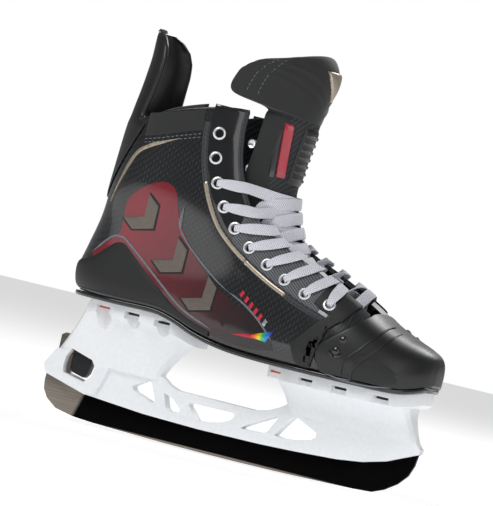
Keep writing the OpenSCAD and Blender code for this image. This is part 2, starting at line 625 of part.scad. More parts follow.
pin_reach = 18;

// ---- fasteners between the holder and the boot ----
head_r = 4.3;
module fastener(p, side, head_h) {
    at_fastener(p, side) {
        translate([0, 0, -plate_under]) cylinder(r = fastener_r, h = plate_under + board_z + board_t);
        translate([0, 0, -plate_under - head_h]) cylinder(r = head_r, h = head_h);
    }
}
module holder_screws() {
    color([0.12, 0.12, 0.12])
        for (side = [-1, 1], p = screw_places) difference() {
            fastener(p, side, 1.8);
            at_fastener(p, side) translate([0, 0, -plate_under - 1.9]) cylinder(r = 1.7, h = 1.2, $fn = 6);
        }
}
module holder_rivets() {
    color([0.65, 0.25, 0.15])
        for (side = [-1, 1], p = rivet_places) fastener(p, side, 1.4);
}
module rivet_burrs() {
    color([0.72, 0.55, 0.35])
        for (side = [-1, 1], p = concat(screw_places, rivet_places)) at_fastener(p, side)
            translate([0, 0, board_z + board_t]) difference() {
                cylinder(r = 4.6, h = burr_h);
                translate([0, 0, -1]) cylinder(r = fastener_r + hole_gap, h = 4);
            }
}

// ---- steel runner ----
rocker_r = 2800;
heel_end = [[-147.3, 24], [-146.4, 18], [-142.5, 11.8], [-134, 5.9], [-119, 2.9]];
toe_end = [[119, 2.9], [128, 6.6], [137, 12.8], [143.5, 20.2], [146.6, 28.4], [147.6, 36.3]];
function rocker_z(x) = rocker_r - sqrt(rocker_r * rocker_r - x * x);
lug_notch = [[-128, 48], [-133, 48], [-133, 54], [-128, 54]];
front_post = [[126.2, 40], [126.5, 51], [131.5, 54], [131.5, 60], [122, 60], [118, 56], [114.5, 42]];
rear_lug = [[-129.5, 46], [-129.5, 59.5], [-132, 62], [-139, 62], [-142, 60], [-142, 46]];
rail_low = [for (i = [len(rail_bottom) - 1:-1:0]) rail_bottom[i]];
function slot_floor(x) = [x * kx, lookup(x, rail_low) * kh + steel_hidden];
function slot_floors(xs) = [for (x = xs) slot_floor(x)];
module runner() {
    steel_low = [for (x = [-105:15:105]) [x * kx, rocker_z(x)]];
    color([0.13, 0.13, 0.14]) difference() {
        across(steel_t) polygon(concat(hold_pts(heel_end), steel_low, hold_pts(toe_end),
            slot_floors([147.6, 126.2]), hold_pts(front_post),
            slot_floors([114.5, 108, 89, 58, 30, -20, -64, -111, -129.5]), hold_pts(rear_lug),
            slot_floors([-142, -144.6, -147])));
        across() polygon(hold_pts(lug_notch));
    }
}

// ---- trigger with its pin and spring ----
trigger_shape = [[-122.5, 64], [-122.5, 68], [-121.5, 70.5], [-119, 71.5], [-116.5, 70.5], [-115.5, 68],
    [-115, 60], [-113.6, 52], [-113, 44], [-114.6, 36], [-117, 32.6], [-121, 33.5], [-127, 35],
    [-128.2, 40], [-128, 46], [-128.2, 52], [-125.5, 54], [-123.5, 58]];
module trigger() {
    color([0.04, 0.04, 0.04]) difference() {
        across(trigger_w) polygon(hold_pts(trigger_shape));
        translate([pin_x * kx, 0, pin_z * kh]) rotate([90, 0, 0])
            cylinder(r = pin_r + pin_gap, h = 30, center = true);
        spring_room();
    }
}
spring_r = 2.9;
wire_r = 0.45;
coils = 4;
module spring_room() {
    translate([pin_x * kx, 0, pin_z * kh]) rotate([90, 0, 0])
        cylinder(r = 5.6, h = coils * 2 * wire_r + 1.2, center = true);
}
module trigger_pin() {
    color("silver") translate([pin_x * kx, 0, pin_z * kh]) rotate([90, 0, 0])
        cylinder(r = pin_r, h = pin_reach, center = true);
}
module trigger_spring() {
    color("silver") translate([pin_x * kx, 0, pin_z * kh]) rotate([90, 0, 0]) {
        rotate_extrude() translate([spring_r - wire_r, -coils * wire_r])
            square([2 * wire_r, coils * 2 * wire_r]);
    }
}

// ---- lace ----
// Height of the lace's middle over the eyestay and, inside, under the shell
over_stay = stay_lift + panel_t + gap + lace_r;
under_wall = -shell_t - gap - lace_r;
// Position of each eyelet along the lower arches of the tongue
eyelet_row_at = [0, 0, 7.7, 6.85, 6.1, 5.4, 4.7, 3.75, 2.75, 1.6];
function arch_at(s) =
    let (i = min(floor(s), len(lower_arches) - 2), u = s - i)
    lower_arches[i] * (1 - u) + lower_arches[i + 1] * u;
function over_tongue(s, f, lift) = arch_pt(arch_at(s), f, lift);
function by_eyelet(k, side, lift) =
    let (p = eyelets[k], n = side_normal(p[0], p[1]))
    boot([p[0], side * side_w(p[0], p[1]), p[1]]) + [n[0], side * n[1], n[2]] * lift;
// The lace leaves eyelet k inside, crosses the tongue and dives into eyelet k - 1 across from it
function crossing(k, side, lift) =
    let (a = eyelet_row_at[k], b = eyelet_row_at[k - 1], e = gap + lace_r)
    concat(
        [by_edge(k, side, under_wall)],
        [for (f = [64, 44, 22, 0, -22, -44])
            over_tongue(a + (b - a) * (0.12 + 0.76 * (64 - f) / 128), side * f,
                f == 0 ? lift : e + (lift - e) * 0.4)],
        [by_edge(k - 1, -side, over_stay), by_eyelet(k - 1, -side, over_stay), by_eyelet(k - 1, -side, -1),
            by_eyelet(k - 1, -side, under_wall)]);
// A point above the eyestay between an eyelet and the throat edge
function by_edge(k, side, lift) =
    let (p = eyelets[k] + eyelet_to_edge(k) * 0.72, n = side_normal(p[0], p[1]))
    boot([p[0], side * side_w(p[0], p[1]), p[1]]) + [n[0], side * n[1], n[2]] * lift;
function eyelet_to_edge(k) =
    let (h = [229, 211, 194, 178, 168, 161, 154.5, 149, 144, 141][k]) edge_point(h) - eyelets[k];
first_k = 9;
last_k = 2;
function half_lace(side) = concat(
    [over_tongue(eyelet_row_at[first_k], 0, gap + lace_r),
        over_tongue(eyelet_row_at[first_k], side * 40, gap + lace_r),
        by_edge(first_k, side, over_stay), by_eyelet(first_k, side, over_stay), by_eyelet(first_k, side, -1),
        by_eyelet(first_k, side, under_wall)],
    [for (k = [first_k:-1:last_k + 1])
        let (s = side * ((first_k - k) % 2 == 0 ? 1 : -1), over = ((first_k - k) % 2 == 0) == (side < 0))
        each crossing(k, s, (over ? 3 : 1) * lace_r + (over ? 2 : 1) * gap)]);
function reversed(v) = [for (i = [len(v) - 1:-1:0]) v[i]];
function tail(v) = [for (i = [1:len(v) - 1]) v[i]];
tube_sides = 8;
module tube(path, r) {
    n = len(path);
    rings = [for (i = [0:n - 1])
        let (d = unit(path[min(i + 1, n - 1)] - path[max(i - 1, 0)]),
            u = unit(cross(d, abs(d[0]) < 0.8 ? [1, 0, 0] : [0, 0, 1])), v = cross(d, u))
        [for (j = [0:tube_sides - 1]) let (f = 360 * j / tube_sides) path[i] + (u * cos(f) + v * sin(f)) * r]];
    loft(rings);
}
module lace_laced() {
    color([0.92, 0.92, 0.95]) tube(concat(reversed(half_lace(-1)), tail(half_lace(1))), lace_r);
}
// Each free end drops from inside its top laced eyelet to the coil in the heel, [x, y, z]
coil_top = 114;
lateral_end = [[-40, -26, 186], [-47, -23, 170], [-54, -21, 150], [-60, -20, 132], [-66, -19.3, 120],
    [-72, -19.3, 116]];
medial_end = [for (p = lateral_end) [p[0], -p[1], p[2]]];
module lace_end(side, route) {
    start = by_eyelet(last_k, side, under_wall);
    color([0.92, 0.92, 0.95]) tube(concat([start], boot_all(route)), lace_r);
}
module lace_end_lateral() {
    lace_end(-1, lateral_end);
}
module lace_end_medial() {
    lace_end(1, medial_end);
}
coil_x = -86;
coil_straight = 24;
coil_outer = 24;
coil_inner = 14.5;
coil_h = 9;
module lace_coil() {
    color([0.92, 0.92, 0.95]) translate([bx(coil_x), 0, bz(coil_top) - coil_h]) scale([1, min(ky, 1), 1])
        linear_extrude(height = coil_h) difference() {
            hull() for (s = [-1, 1]) translate([s * coil_straight / 2, 0]) circle(r = coil_outer, $fn = 32);
            hull() for (s = [-1, 1]) translate([s * coil_straight / 2, 0]) circle(r = coil_inner, $fn = 32);
        }
}
aglet_len = 20;
module lace_aglets() {
    color([0.9, 0.9, 0.92])
        for (s = [-1, 1]) translate([bx(coil_x) - aglet_len / 2, s * 5, bz(coil_top) - coil_h + aglet_r])
            rotate([0, 90, 0]) cylinder(r = aglet_r, h = aglet_len);
}

shell();
heel_counter();
ankle_panels();
collar_foam();
liner();
footbed();
insole_board();
outsole();
toe_cap();
toe_cap_rivets();
toe_straps();
lateral_eyestay();
medial_eyestay();
lateral_eyelets();
medial_eyelets();
tongue_lower();
tongue_upper();
tongue_insert();
tongue_badge();
tendon_guard();
guard_base();
guard_pull();
blade_holder();
holder_screws();
holder_rivets();
rivet_burrs();
runner();
trigger();
trigger_pin();
trigger_spring();
lace_laced();
lace_end_lateral();
lace_end_medial();
lace_coil();
lace_aglets();
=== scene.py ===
# An ice hockey skate for the right foot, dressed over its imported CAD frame.
# Lengths are in millimetres in the tables and become metres where a mesh is made.
import json
import math
import random

import bmesh
import bpy
import numpy as np
from mathutils import Matrix, Vector

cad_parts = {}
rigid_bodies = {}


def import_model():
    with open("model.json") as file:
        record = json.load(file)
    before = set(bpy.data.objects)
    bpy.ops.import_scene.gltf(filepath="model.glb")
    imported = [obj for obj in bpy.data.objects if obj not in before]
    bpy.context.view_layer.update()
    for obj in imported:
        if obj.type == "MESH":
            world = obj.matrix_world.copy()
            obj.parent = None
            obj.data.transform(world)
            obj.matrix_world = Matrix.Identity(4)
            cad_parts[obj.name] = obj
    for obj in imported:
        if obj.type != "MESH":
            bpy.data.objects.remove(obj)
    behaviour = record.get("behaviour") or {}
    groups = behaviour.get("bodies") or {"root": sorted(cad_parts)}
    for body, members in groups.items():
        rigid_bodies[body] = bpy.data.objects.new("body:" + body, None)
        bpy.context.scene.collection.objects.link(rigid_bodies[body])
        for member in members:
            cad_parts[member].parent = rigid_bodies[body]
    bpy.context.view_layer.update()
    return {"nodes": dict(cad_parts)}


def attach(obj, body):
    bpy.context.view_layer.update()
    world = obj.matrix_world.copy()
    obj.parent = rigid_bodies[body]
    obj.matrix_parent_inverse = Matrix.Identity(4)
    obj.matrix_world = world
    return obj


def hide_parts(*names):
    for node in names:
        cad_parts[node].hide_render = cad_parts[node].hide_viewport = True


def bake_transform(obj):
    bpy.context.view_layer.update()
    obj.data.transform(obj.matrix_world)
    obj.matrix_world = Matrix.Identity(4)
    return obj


bpy.ops.object.select_all(action="SELECT")
bpy.ops.object.delete()  # the cube, light and camera that a new file holds
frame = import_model()
bpy.ops.object.select_all(action="DESELECT")
random.seed(11)
mm = 0.001
print("frame loaded:", len(frame["nodes"]), "parts")

# ---- camera: level, a little round from the outer side towards the toe ----
cameraSet = {
    "azimuth": 20.0,  # degrees round from the outer side towards the toe
    "roll": 13.2,  # degrees that the blade tips down at the toe
    "aim": (-15.7, 0.0, 149.6),
    "away": 3000.0,
    "viewHeight": 369.4,  # what the long side of the frame takes in at the aim
}


def placeCamera():
    s = cameraSet
    turn, roll = math.radians(s["azimuth"]), math.radians(s["roll"])
    back = Vector((math.sin(turn), -math.cos(turn), 0))
    right = Vector((math.cos(turn), math.sin(turn), 0))
    up = Vector((0, 0, 1))
    across = right * math.cos(roll) + up * math.sin(roll)
    above = up * math.cos(roll) - right * math.sin(roll)
    place = (Vector(s["aim"]) + back * s["away"]) * mm
    bpy.ops.object.camera_add(location=place)
    camera = bpy.context.object
    camera.name = "skateCamera"
    camera.data.sensor_width = 36
    camera.data.lens = 36 * s["away"] / s["viewHeight"]
    camera.data.clip_end = 50
    axes = Matrix((across, above, back)).transposed().to_4x4()
    camera.matrix_world = Matrix.Translation(place) @ axes
    bpy.context.scene.camera = camera


placeCamera()
print("camera placed")


# ---- small maths: a smooth curve through a few points, and a soft step ----
def curve(t, points):
    p = np.array(points, float)
    t = np.asarray(t, float)
    last = len(p) - 1
    i = np.clip(np.searchsorted(p[:, 0], t, side="right") - 1, 0, last - 1)
    before, after = np.maximum(np.arange(last + 1) - 1, 0), np.minimum(np.arange(last + 1) + 1, last)
    slope = (p[after, 1] - p[before, 1]) / (p[after, 0] - p[before, 0])
    h = p[i + 1, 0] - p[i, 0]
    u = np.clip((t - p[i, 0]) / h, 0, 1)
    return (
        (2 * u**3 - 3 * u**2 + 1) * p[i, 1]
        + (u**3 - 2 * u**2 + u) * slope[i] * h
        + (3 * u**2 - 2 * u**3) * p[i + 1, 1]
        + (u**3 - u**2) * slope[i + 1] * h
    )


def ramp(t, a, b):
    u = np.clip((np.asarray(t, float) - a) / (b - a), 0, 1)
    return u * u * (3 - 2 * u)


def unit(v):
    v = np.asarray(v, float)
    return v / np.maximum(np.linalg.norm(v, axis=-1, keepdims=True), 1e-9)


def smoothLine(points, each=6):
    # Catmull-Rom through the points, end points doubled
    p = np.array(points, float)
    p = np.vstack([2 * p[0] - p[1], p, 2 * p[-1] - p[-2]])
    out = []
    for k in range(1, len(p) - 2):
        a, b, c, d = p[k - 1], p[k], p[k + 1], p[k + 2]
        for u in np.linspace(0, 1, each, endpoint=False):
            out.append(0.5 * (2 * b + (c - a) * u + (2 * a - 5 * b + 4 * c - d) * u**2
                              + (3 * b - a - 3 * c + d) * u**3))
    out.append(p[-2])
    return np.array(out)


# ---- the boot's surface, the same one the CAD source draws ----
bootLines = {
    "sole": [(-150, 91.5), (-90, 91.5), (-62, 91.5), (-45, 87.5), (-31, 82.5), (-14, 78.6), (4, 76.4),
             (35, 75.3), (105, 75.4), (130, 76), (141, 79), (150, 84)],
    "crown": [(-16, 300), (-16, 262), (-17, 230), (-10, 205), (1, 188), (20, 172), (36, 163), (54, 154),
              (70, 147), (84, 138.5), (104, 125), (125, 116), (138, 111), (146, 106), (149, 99)],
    "back": [(85, -127), (91.5, -131), (96.5, -135.4), (103, -138.4), (113, -139.5), (127, -136.2),
             (154, -129.6), (180, -127.5), (216, -125.2), (239, -122.9), (257, -121), (275, -119.8), (296, -121)],
    "half": [(-140, 36), (-100, 37), (-60, 37), (-20, 40), (20, 46), (60, 51), (90, 51.2), (110, 48),
             (128, 40.5), (140, 29), (146, 18), (149, 5)],
    "throat": [(91, 99), (130, 99), (135, 89), (140, 76), (144, 64), (149, 50), (156, 32), (164, 16),
               (173, 2), (182, -8), (204, -20), (230, -26.5), (251, -26.5)],
    "collar": [(-150, 228), (-106, 228), (-97, 231), (-75, 240), (-50, 247), (-31, 250), (0, 250)],
}
heelRound, ankleSwell, archPower = 38.0, 7.5, 3.0
sliceLow, sliceFlat, sliceShear, sliceTop = 91.5, 150.0, 200.0, 250.0
crownPoints = np.array(bootLines["crown"], float)
crownRun = bootLines["crown"][5:]


def soleZ(x):
    return curve(x, bootLines["sole"])


def crownZ(x):
    return np.where(np.asarray(x, float) < crownRun[0][0], crownRun[0][1], curve(x, crownRun))


def crownDistance(x, z):
    p = np.stack([np.asarray(x, float), np.asarray(z, float)], -1)
    best = np.full(p.shape[:-1], 1e9)
    for a, b in zip(crownPoints[:-1], crownPoints[1:]):
        d = b - a
        u = np.clip(((p - a) @ d) / (d @ d), 0, 1)
        best = np.minimum(best, np.linalg.norm(p - a - u[..., None] * d, axis=-1))
    return best


def halfWidth(x, z):
    tuck = 1 - 0.1 * (1 - ramp(z - soleZ(x), 0, 16))
    return (curve(x, bootLines["half"]) + ankleSwell * ramp(z, 120, 185) * (1 - ramp(x, -15, 25))) * tuck


def sideWidth(x, z):
    x, z = np.broadcast_arrays(np.asarray(x, float), np.asarray(z, float))
    reach = np.where(x > 0, 0.9 * (crownZ(x) - soleZ(x)), 95)
    e = np.minimum(crownDistance(x, z) / reach, 1)
    d = np.maximum(x - curve(z, bootLines["back"]), 0) / heelRound
    arch = (1 - (1 - e) ** archPower) ** (1 / archPower)
    heel = np.where(d < 1, np.sqrt(np.maximum(1 - (1 - d) ** 2, 0)), 1)
    return halfWidth(x, z) * arch * heel


def sideNormal(x, z):
    n = np.stack([
        sideWidth(x - 0.5, z) - sideWidth(x + 0.5, z),
        np.ones(np.shape(x)),
        sideWidth(x, z - 0.5) - sideWidth(x, z + 0.5)], -1)
    return unit(n)


def onSide(x, z, side, lift=0.0):
    x, z = np.broadcast_arrays(np.asarray(x, float), np.asarray(z, float))
    n = sideNormal(x, z) * np.array([1, side, 1])
    p = np.stack([x, side * sideWidth(x, z), z], -1)
    return p + n * np.asarray(lift, float)[..., None], n


def sliceZ(x, h):
    low = h - (sliceLow - soleZ(x)) * (sliceFlat - h) / (sliceFlat - sliceLow)
    high = sliceShear + (h - sliceShear) * (curve(x, bootLines["collar"]) - sliceShear) / (sliceTop - sliceShear)
    return np.where(h < sliceFlat, low, np.where(h < sliceShear, h, high))


def wallPoint(h, a, backOff=0.0, xMax=200.0):
    x0 = curve(sliceZ(np.full(np.shape(h), -120.0), h), bootLines["back"])
    x1 = np.minimum(curve(h, bootLines["throat"]) - backOff, xMax)
    x = x0 + (x1 - x0) * a * a
    z = sliceZ(x, h)
    return np.stack([x, np.where(a < 0, -1, 1) * sideWidth(x, z), z], -1)


def wallAt(h, a, depth, backOff=0.0, xMax=200.0):
    h, a = np.broadcast_arrays(np.asarray(h, float), np.asarray(a, float))
    e = 0.01
    da = wallPoint(h, a + e, backOff, xMax) - wallPoint(h, a - e, backOff, xMax)
    dh = wallPoint(h + 0.5, a, backOff, xMax) - wallPoint(h - 0.5, a, backOff, xMax)
    return wallPoint(h, a, backOff, xMax) - unit(np.cross(dh, da)) * np.asarray(depth, float)[..., None]


# ---- materials ----
def linear(hexColour):
    # sRGB hex to the linear values that shaders take
    parts = [int(hexColour[i:i + 2], 16) / 255 for i in (1, 3, 5)]
    return tuple(c / 12.92 if c < 0.04045 else ((c + 0.055) / 1.055) ** 2.4 for c in parts) + (1,)


def addNode(material, kind, settings=None, links=None):
    # settings name either a property of the node or one of its inputs
    made = material.node_tree.nodes.new(kind)
    for key, value in (settings or {}).items():
        if isinstance(key, str) and hasattr(made, key):
            setattr(made, key, value)
        else:
            made.inputs[key].default_value = value
    for key, source in (links or {}).items():
        material.node_tree.links.new(source, made.inputs[key])
    return made


def newMaterial(name, colour, roughness, **shader):
    made = bpy.data.materials.new(name)
    made.use_nodes = True
    body = made.node_tree.nodes["Principled BSDF"]
    body.inputs["Base Color"].default_value = linear(colour)
    body.inputs["Roughness"].default_value = roughness
    for key, value in shader.items():
        body.inputs[key.replace("_", " ")].default_value = value
    return made, body


def mottle(material, body, dark, light, scale, roughLow, roughHigh, bump=0.0, coords="Object"):
    # fine colour and gloss change from a noise, at scale per metre, and a bump of so many metres
    place = addNode(material, "ShaderNodeTexCoord")
    noise = addNode(material, "ShaderNodeTexNoise", {"Scale": scale, "Detail": 4.0},
                    {"Vector": place.outputs[coords]})
    tint = addNode(material, "ShaderNodeMix", {"data_type": "RGBA", 6: linear(dark), 7: linear(light)},
                   {0: noise.outputs[0]})
    rough = addNode(material, "ShaderNodeMapRange", {"To Min": roughLow, "To Max": roughHigh},
                    {"Value": noise.outputs[0]})
    link = material.node_tree.links.new
    link(tint.outputs[2], body.inputs["Base Color"])
    link(rough.outputs[0], body.inputs["Roughness"])
    if bump:
        raised = addNode(material, "ShaderNodeBump", {"Strength": 0.6, "Distance": bump},
                         {"Height": noise.outputs[0]})
        link(raised.outputs[0], body.inputs["Normal"])
    return place, noise, tint


def grained(name, dark, light, scale, roughLow, roughHigh, bump, **shader):
    made, body = newMaterial(name, dark, roughLow, **shader)
    mottle(made, body, dark, light, scale, roughLow, roughHigh, bump)
    return made


def banded(name, dark, light, pitch, direction, rough, bump, distort=0.0, **shader):
    # parallel ridges at so many mm, along a direction in object coordinates
    made, body = newMaterial(name, dark, rough, **shader)
    place = addNode(made, "ShaderNodeTexCoord")
    turned = addNode(made, "ShaderNodeVectorRotate", {"rotation_type": "EULER_XYZ", "Rotation": direction},
                     {"Vector": place.outputs["Object"]})
    wave = addNode(made, "ShaderNodeTexWave", {
        "wave_type": "BANDS", "bands_direction": "X", "Scale": 0.314 / (pitch * mm), "Distortion": distort,
        "Detail": 2.0}, {"Vector": turned.outputs[0]})
    noise = addNode(made, "ShaderNodeTexNoise", {"Scale": 900.0, "Detail": 3.0}, {"Vector": place.outputs["Object"]})
    both = addNode(made, "ShaderNodeMath", {"operation": "MULTIPLY_ADD", 1: 0.45},
                   {0: noise.outputs[0], 2: wave.outputs["Fac"]})
    tint = addNode(made, "ShaderNodeMix",
                   {"data_type": "RGBA", "clamp_factor": True, 6: linear(dark), 7: linear(light)},
                   {0: both.outputs[0]})
    raised = addNode(made, "ShaderNodeBump", {"Strength": 0.8, "Distance": bump}, {"Height": both.outputs[0]})
    made.node_tree.links.new(tint.outputs[2], body.inputs["Base Color"])
    made.node_tree.links.new(raised.outputs[0], body.inputs["Normal"])
    return made


# Carbon-look film: 2x2 twill printed under a clear gloss film, tows drawn 2.4 mm wide
def carbonFilm():
    made, body = newMaterial("glossCarbonFilm", "#101113", 0.22, Coat_Weight=0.8, Coat_Roughness=0.06)
    place = addNode(made, "ShaderNodeTexCoord")
    turned = addNode(made, "ShaderNodeVectorRotate", {"rotation_type": "EULER_XYZ",
                     "Rotation": (math.radians(90), math.radians(0), 0)}, {"Vector": place.outputs["Object"]})
    waves = []
    for direction in ("DIAGONAL", "X"):
        waves.append(addNode(made, "ShaderNodeTexWave", {
            "wave_type": "BANDS", "bands_direction": direction, "Scale": 0.314 / (2.4 * mm), "Distortion": 0.4},
            {"Vector": turned.outputs[0]}))
    weave = addNode(made, "ShaderNodeMath", {"operation": "MULTIPLY"},
                    {0: waves[0].outputs["Fac"], 1: waves[1].outputs["Fac"]})
    cloud = addNode(made, "ShaderNodeTexNoise", {"Scale": 45.0, "Detail": 2.0}, {"Vector": place.outputs["Object"]})
    shade = addNode(made, "ShaderNodeMath", {"operation": "MULTIPLY"}, {0: weave.outputs[0], 1: cloud.outputs[0]})
    tint = addNode(made, "ShaderNodeMix", {"data_type": "RGBA", 6: linear("#0d0e10"), 7: linear("#3a3d42")},
                   {0: shade.outputs[0]})
    made.node_tree.links.new(tint.outputs[2], body.inputs["Base Color"])
    return made


# Red metallic print under the same film, fading to black towards the toe and the sole
def redFilm():
    made, body = newMaterial("redMetallicFilm", "#7d1626", 0.28, Metallic=0.25, Coat_Weight=0.7, Coat_Roughness=0.08)
    place = addNode(made, "ShaderNodeTexCoord")
    axes = addNode(made, "ShaderNodeSeparateXYZ", {}, {"Vector": place.outputs["Object"]})
    tall = addNode(made, "ShaderNodeMath", {"operation": "MULTIPLY", 1: -0.75}, {0: axes.outputs["Z"]})
    along = addNode(made, "ShaderNodeMath", {"operation": "ADD"}, {0: axes.outputs["X"], 1: tall.outputs[0]})
    fade = addNode(made, "ShaderNodeMapRange", {"From Min": -0.205, "From Max": -0.045, "To Min": 0.0, "To Max": 1.0},
                   {"Value": along.outputs[0]})
    noise = addNode(made, "ShaderNodeTexNoise", {"Scale": 500.0, "Detail": 5.0}, {"Vector": place.outputs["Object"]})
    speck = addNode(made, "ShaderNodeMath", {"operation": "MULTIPLY_ADD", 1: 0.35, 2: -0.17}, {0: noise.outputs[0]})
    level = addNode(made, "ShaderNodeMath", {"operation": "ADD", "use_clamp": True},
                    {0: fade.outputs[0], 1: speck.outputs[0]})
    ramped = addNode(made, "ShaderNodeValToRGB", {}, {0: level.outputs[0]})
    stops = ramped.color_ramp
    stops.elements[0].color, stops.elements[1].color = linear("#7c1525"), linear("#120d0e")
    stops.elements.new(0.45).color = linear("#56111b")
    stops.elements.new(0.75).color = linear("#30131a")
    made.node_tree.links.new(ramped.outputs[0], body.inputs["Base Color"])
    return made


# Woven polyester lace: flat white braid, chevron ribs 1.6 mm apart on its own UV map
def wovenLace():
    made, body = newMaterial("wovenPolyesterLace", "#e9e9f2", 0.8, Sheen_Weight=0.3)
    place = addNode(made, "ShaderNodeUVMap", {"uv_map": "laceUV"})
    axes = addNode(made, "ShaderNodeSeparateXYZ", {}, {"Vector": place.outputs[0]})
    middle = addNode(made, "ShaderNodeMath", {"operation": "ABSOLUTE"}, {0: axes.outputs["X"]})
    slant = addNode(made, "ShaderNodeMath", {"operation": "MULTIPLY_ADD", 1: 0.8},
                    {0: middle.outputs[0], 2: axes.outputs["Y"]})
    beat = addNode(made, "ShaderNodeMath", {"operation": "MULTIPLY", 1: 2 * math.pi / 1.6}, {0: slant.outputs[0]})
    wave = addNode(made, "ShaderNodeMath", {"operation": "SINE"}, {0: beat.outputs[0]})
    noise = addNode(made, "ShaderNodeTexNoise", {"Scale": 1.2, "Detail": 3.0}, {"Vector": place.outputs[0]})
    level = addNode(made, "ShaderNodeMath", {"operation": "MULTIPLY_ADD", 1: 0.3, "use_clamp": True},
                    {0: wave.outputs[0], 2: noise.outputs[0]})
    tint = addNode(made, "ShaderNodeMix", {"data_type": "RGBA", 6: linear("#a7a8b6"), 7: linear("#f6f6fc")},
                   {0: level.outputs[0]})
    raised = addNode(made, "ShaderNodeBump", {"Strength": 0.7, "Distance": 0.0003}, {"Height": level.outputs[0]})
    made.node_tree.links.new(tint.outputs[2], body.inputs["Base Color"])
    made.node_tree.links.new(raised.outputs[0], body.inputs["Normal"])
    return made


# Runner steel: black carbon coating, worn off to ground steel behind a slanted line at the heel
def coatedSteel():
    made, body = newMaterial("coatedRunnerSteel", "#0c0c0d", 0.3, Metallic=1.0)
    place = addNode(made, "ShaderNodeTexCoord")
    axes = addNode(made, "ShaderNodeSeparateXYZ", {}, {"Vector": place.outputs["Object"]})
    slant = addNode(made, "ShaderNodeMath", {"operation": "MULTIPLY_ADD", 1: -0.3},
                    {0: axes.outputs["Z"], 2: axes.outputs["X"]})
    edge = addNode(made, "ShaderNodeMapRange", {"From Min": -0.122, "From Max": -0.119}, {"Value": slant.outputs[0]})
    low = addNode(made, "ShaderNodeMapRange", {"From Min": 0.0016, "From Max": 0.0022}, {"Value": axes.outputs["Z"]})
    coated = addNode(made, "ShaderNodeMath", {"operation": "MULTIPLY"}, {0: edge.outputs[0], 1: low.outputs[0]})
    stretch = addNode(made, "ShaderNodeMapping", {"Scale": (30.0, 400.0, 3000.0)},
                      {"Vector": place.outputs["Object"]})
    lines = addNode(made, "ShaderNodeTexNoise", {"Scale": 1.0, "Detail": 3.0}, {"Vector": stretch.outputs[0]})
    bright = addNode(made, "ShaderNodeMix", {"data_type": "RGBA", 6: linear("#5a544e"), 7: linear("#a39a90")},
                     {0: lines.outputs[0]})
    tint = addNode(made, "ShaderNodeMix", {"data_type": "RGBA", 7: linear("#0b0b0c")},
                   {0: coated.outputs[0], 6: bright.outputs[2]})
    rough = addNode(made, "ShaderNodeMapRange", {"To Min": 0.22, "To Max": 0.42}, {"Value": lines.outputs[0]})
    made.node_tree.links.new(tint.outputs[2], body.inputs["Base Color"])
    made.node_tree.links.new(rough.outputs[0], body.inputs["Roughness"])
    return made


# Iridescent foil: colours run along its length
def rainbowFoil():
    made, body = newMaterial("iridescentFoil", "#30c0d0", 0.25, Metallic=0.4, Coat_Weight=0.6)
    place = addNode(made, "ShaderNodeTexCoord")
    axes = addNode(made, "ShaderNodeSeparateXYZ", {}, {"Vector": place.outputs["Object"]})
    along = addNode(made, "ShaderNodeMapRange", {"From Min": 0.0185, "From Max": 0.034}, {"Value": axes.outputs["X"]})
    ramped = addNode(made, "ShaderNodeValToRGB", {}, {0: along.outputs[0]})
    stops = ramped.color_ramp
    stops.elements[0].color, stops.elements[1].color = linear("#c01828"), linear("#3a2a9a")
    for at, colour in ((0.25, "#e8781a"), (0.42, "#e8d820"), (0.6, "#30c050"), (0.78, "#2090e0")):
        stops.elements.new(at).color = linear(colour)
    made.node_tree.links.new(ramped.outputs[0], body.inputs["Base Color"])
    return made


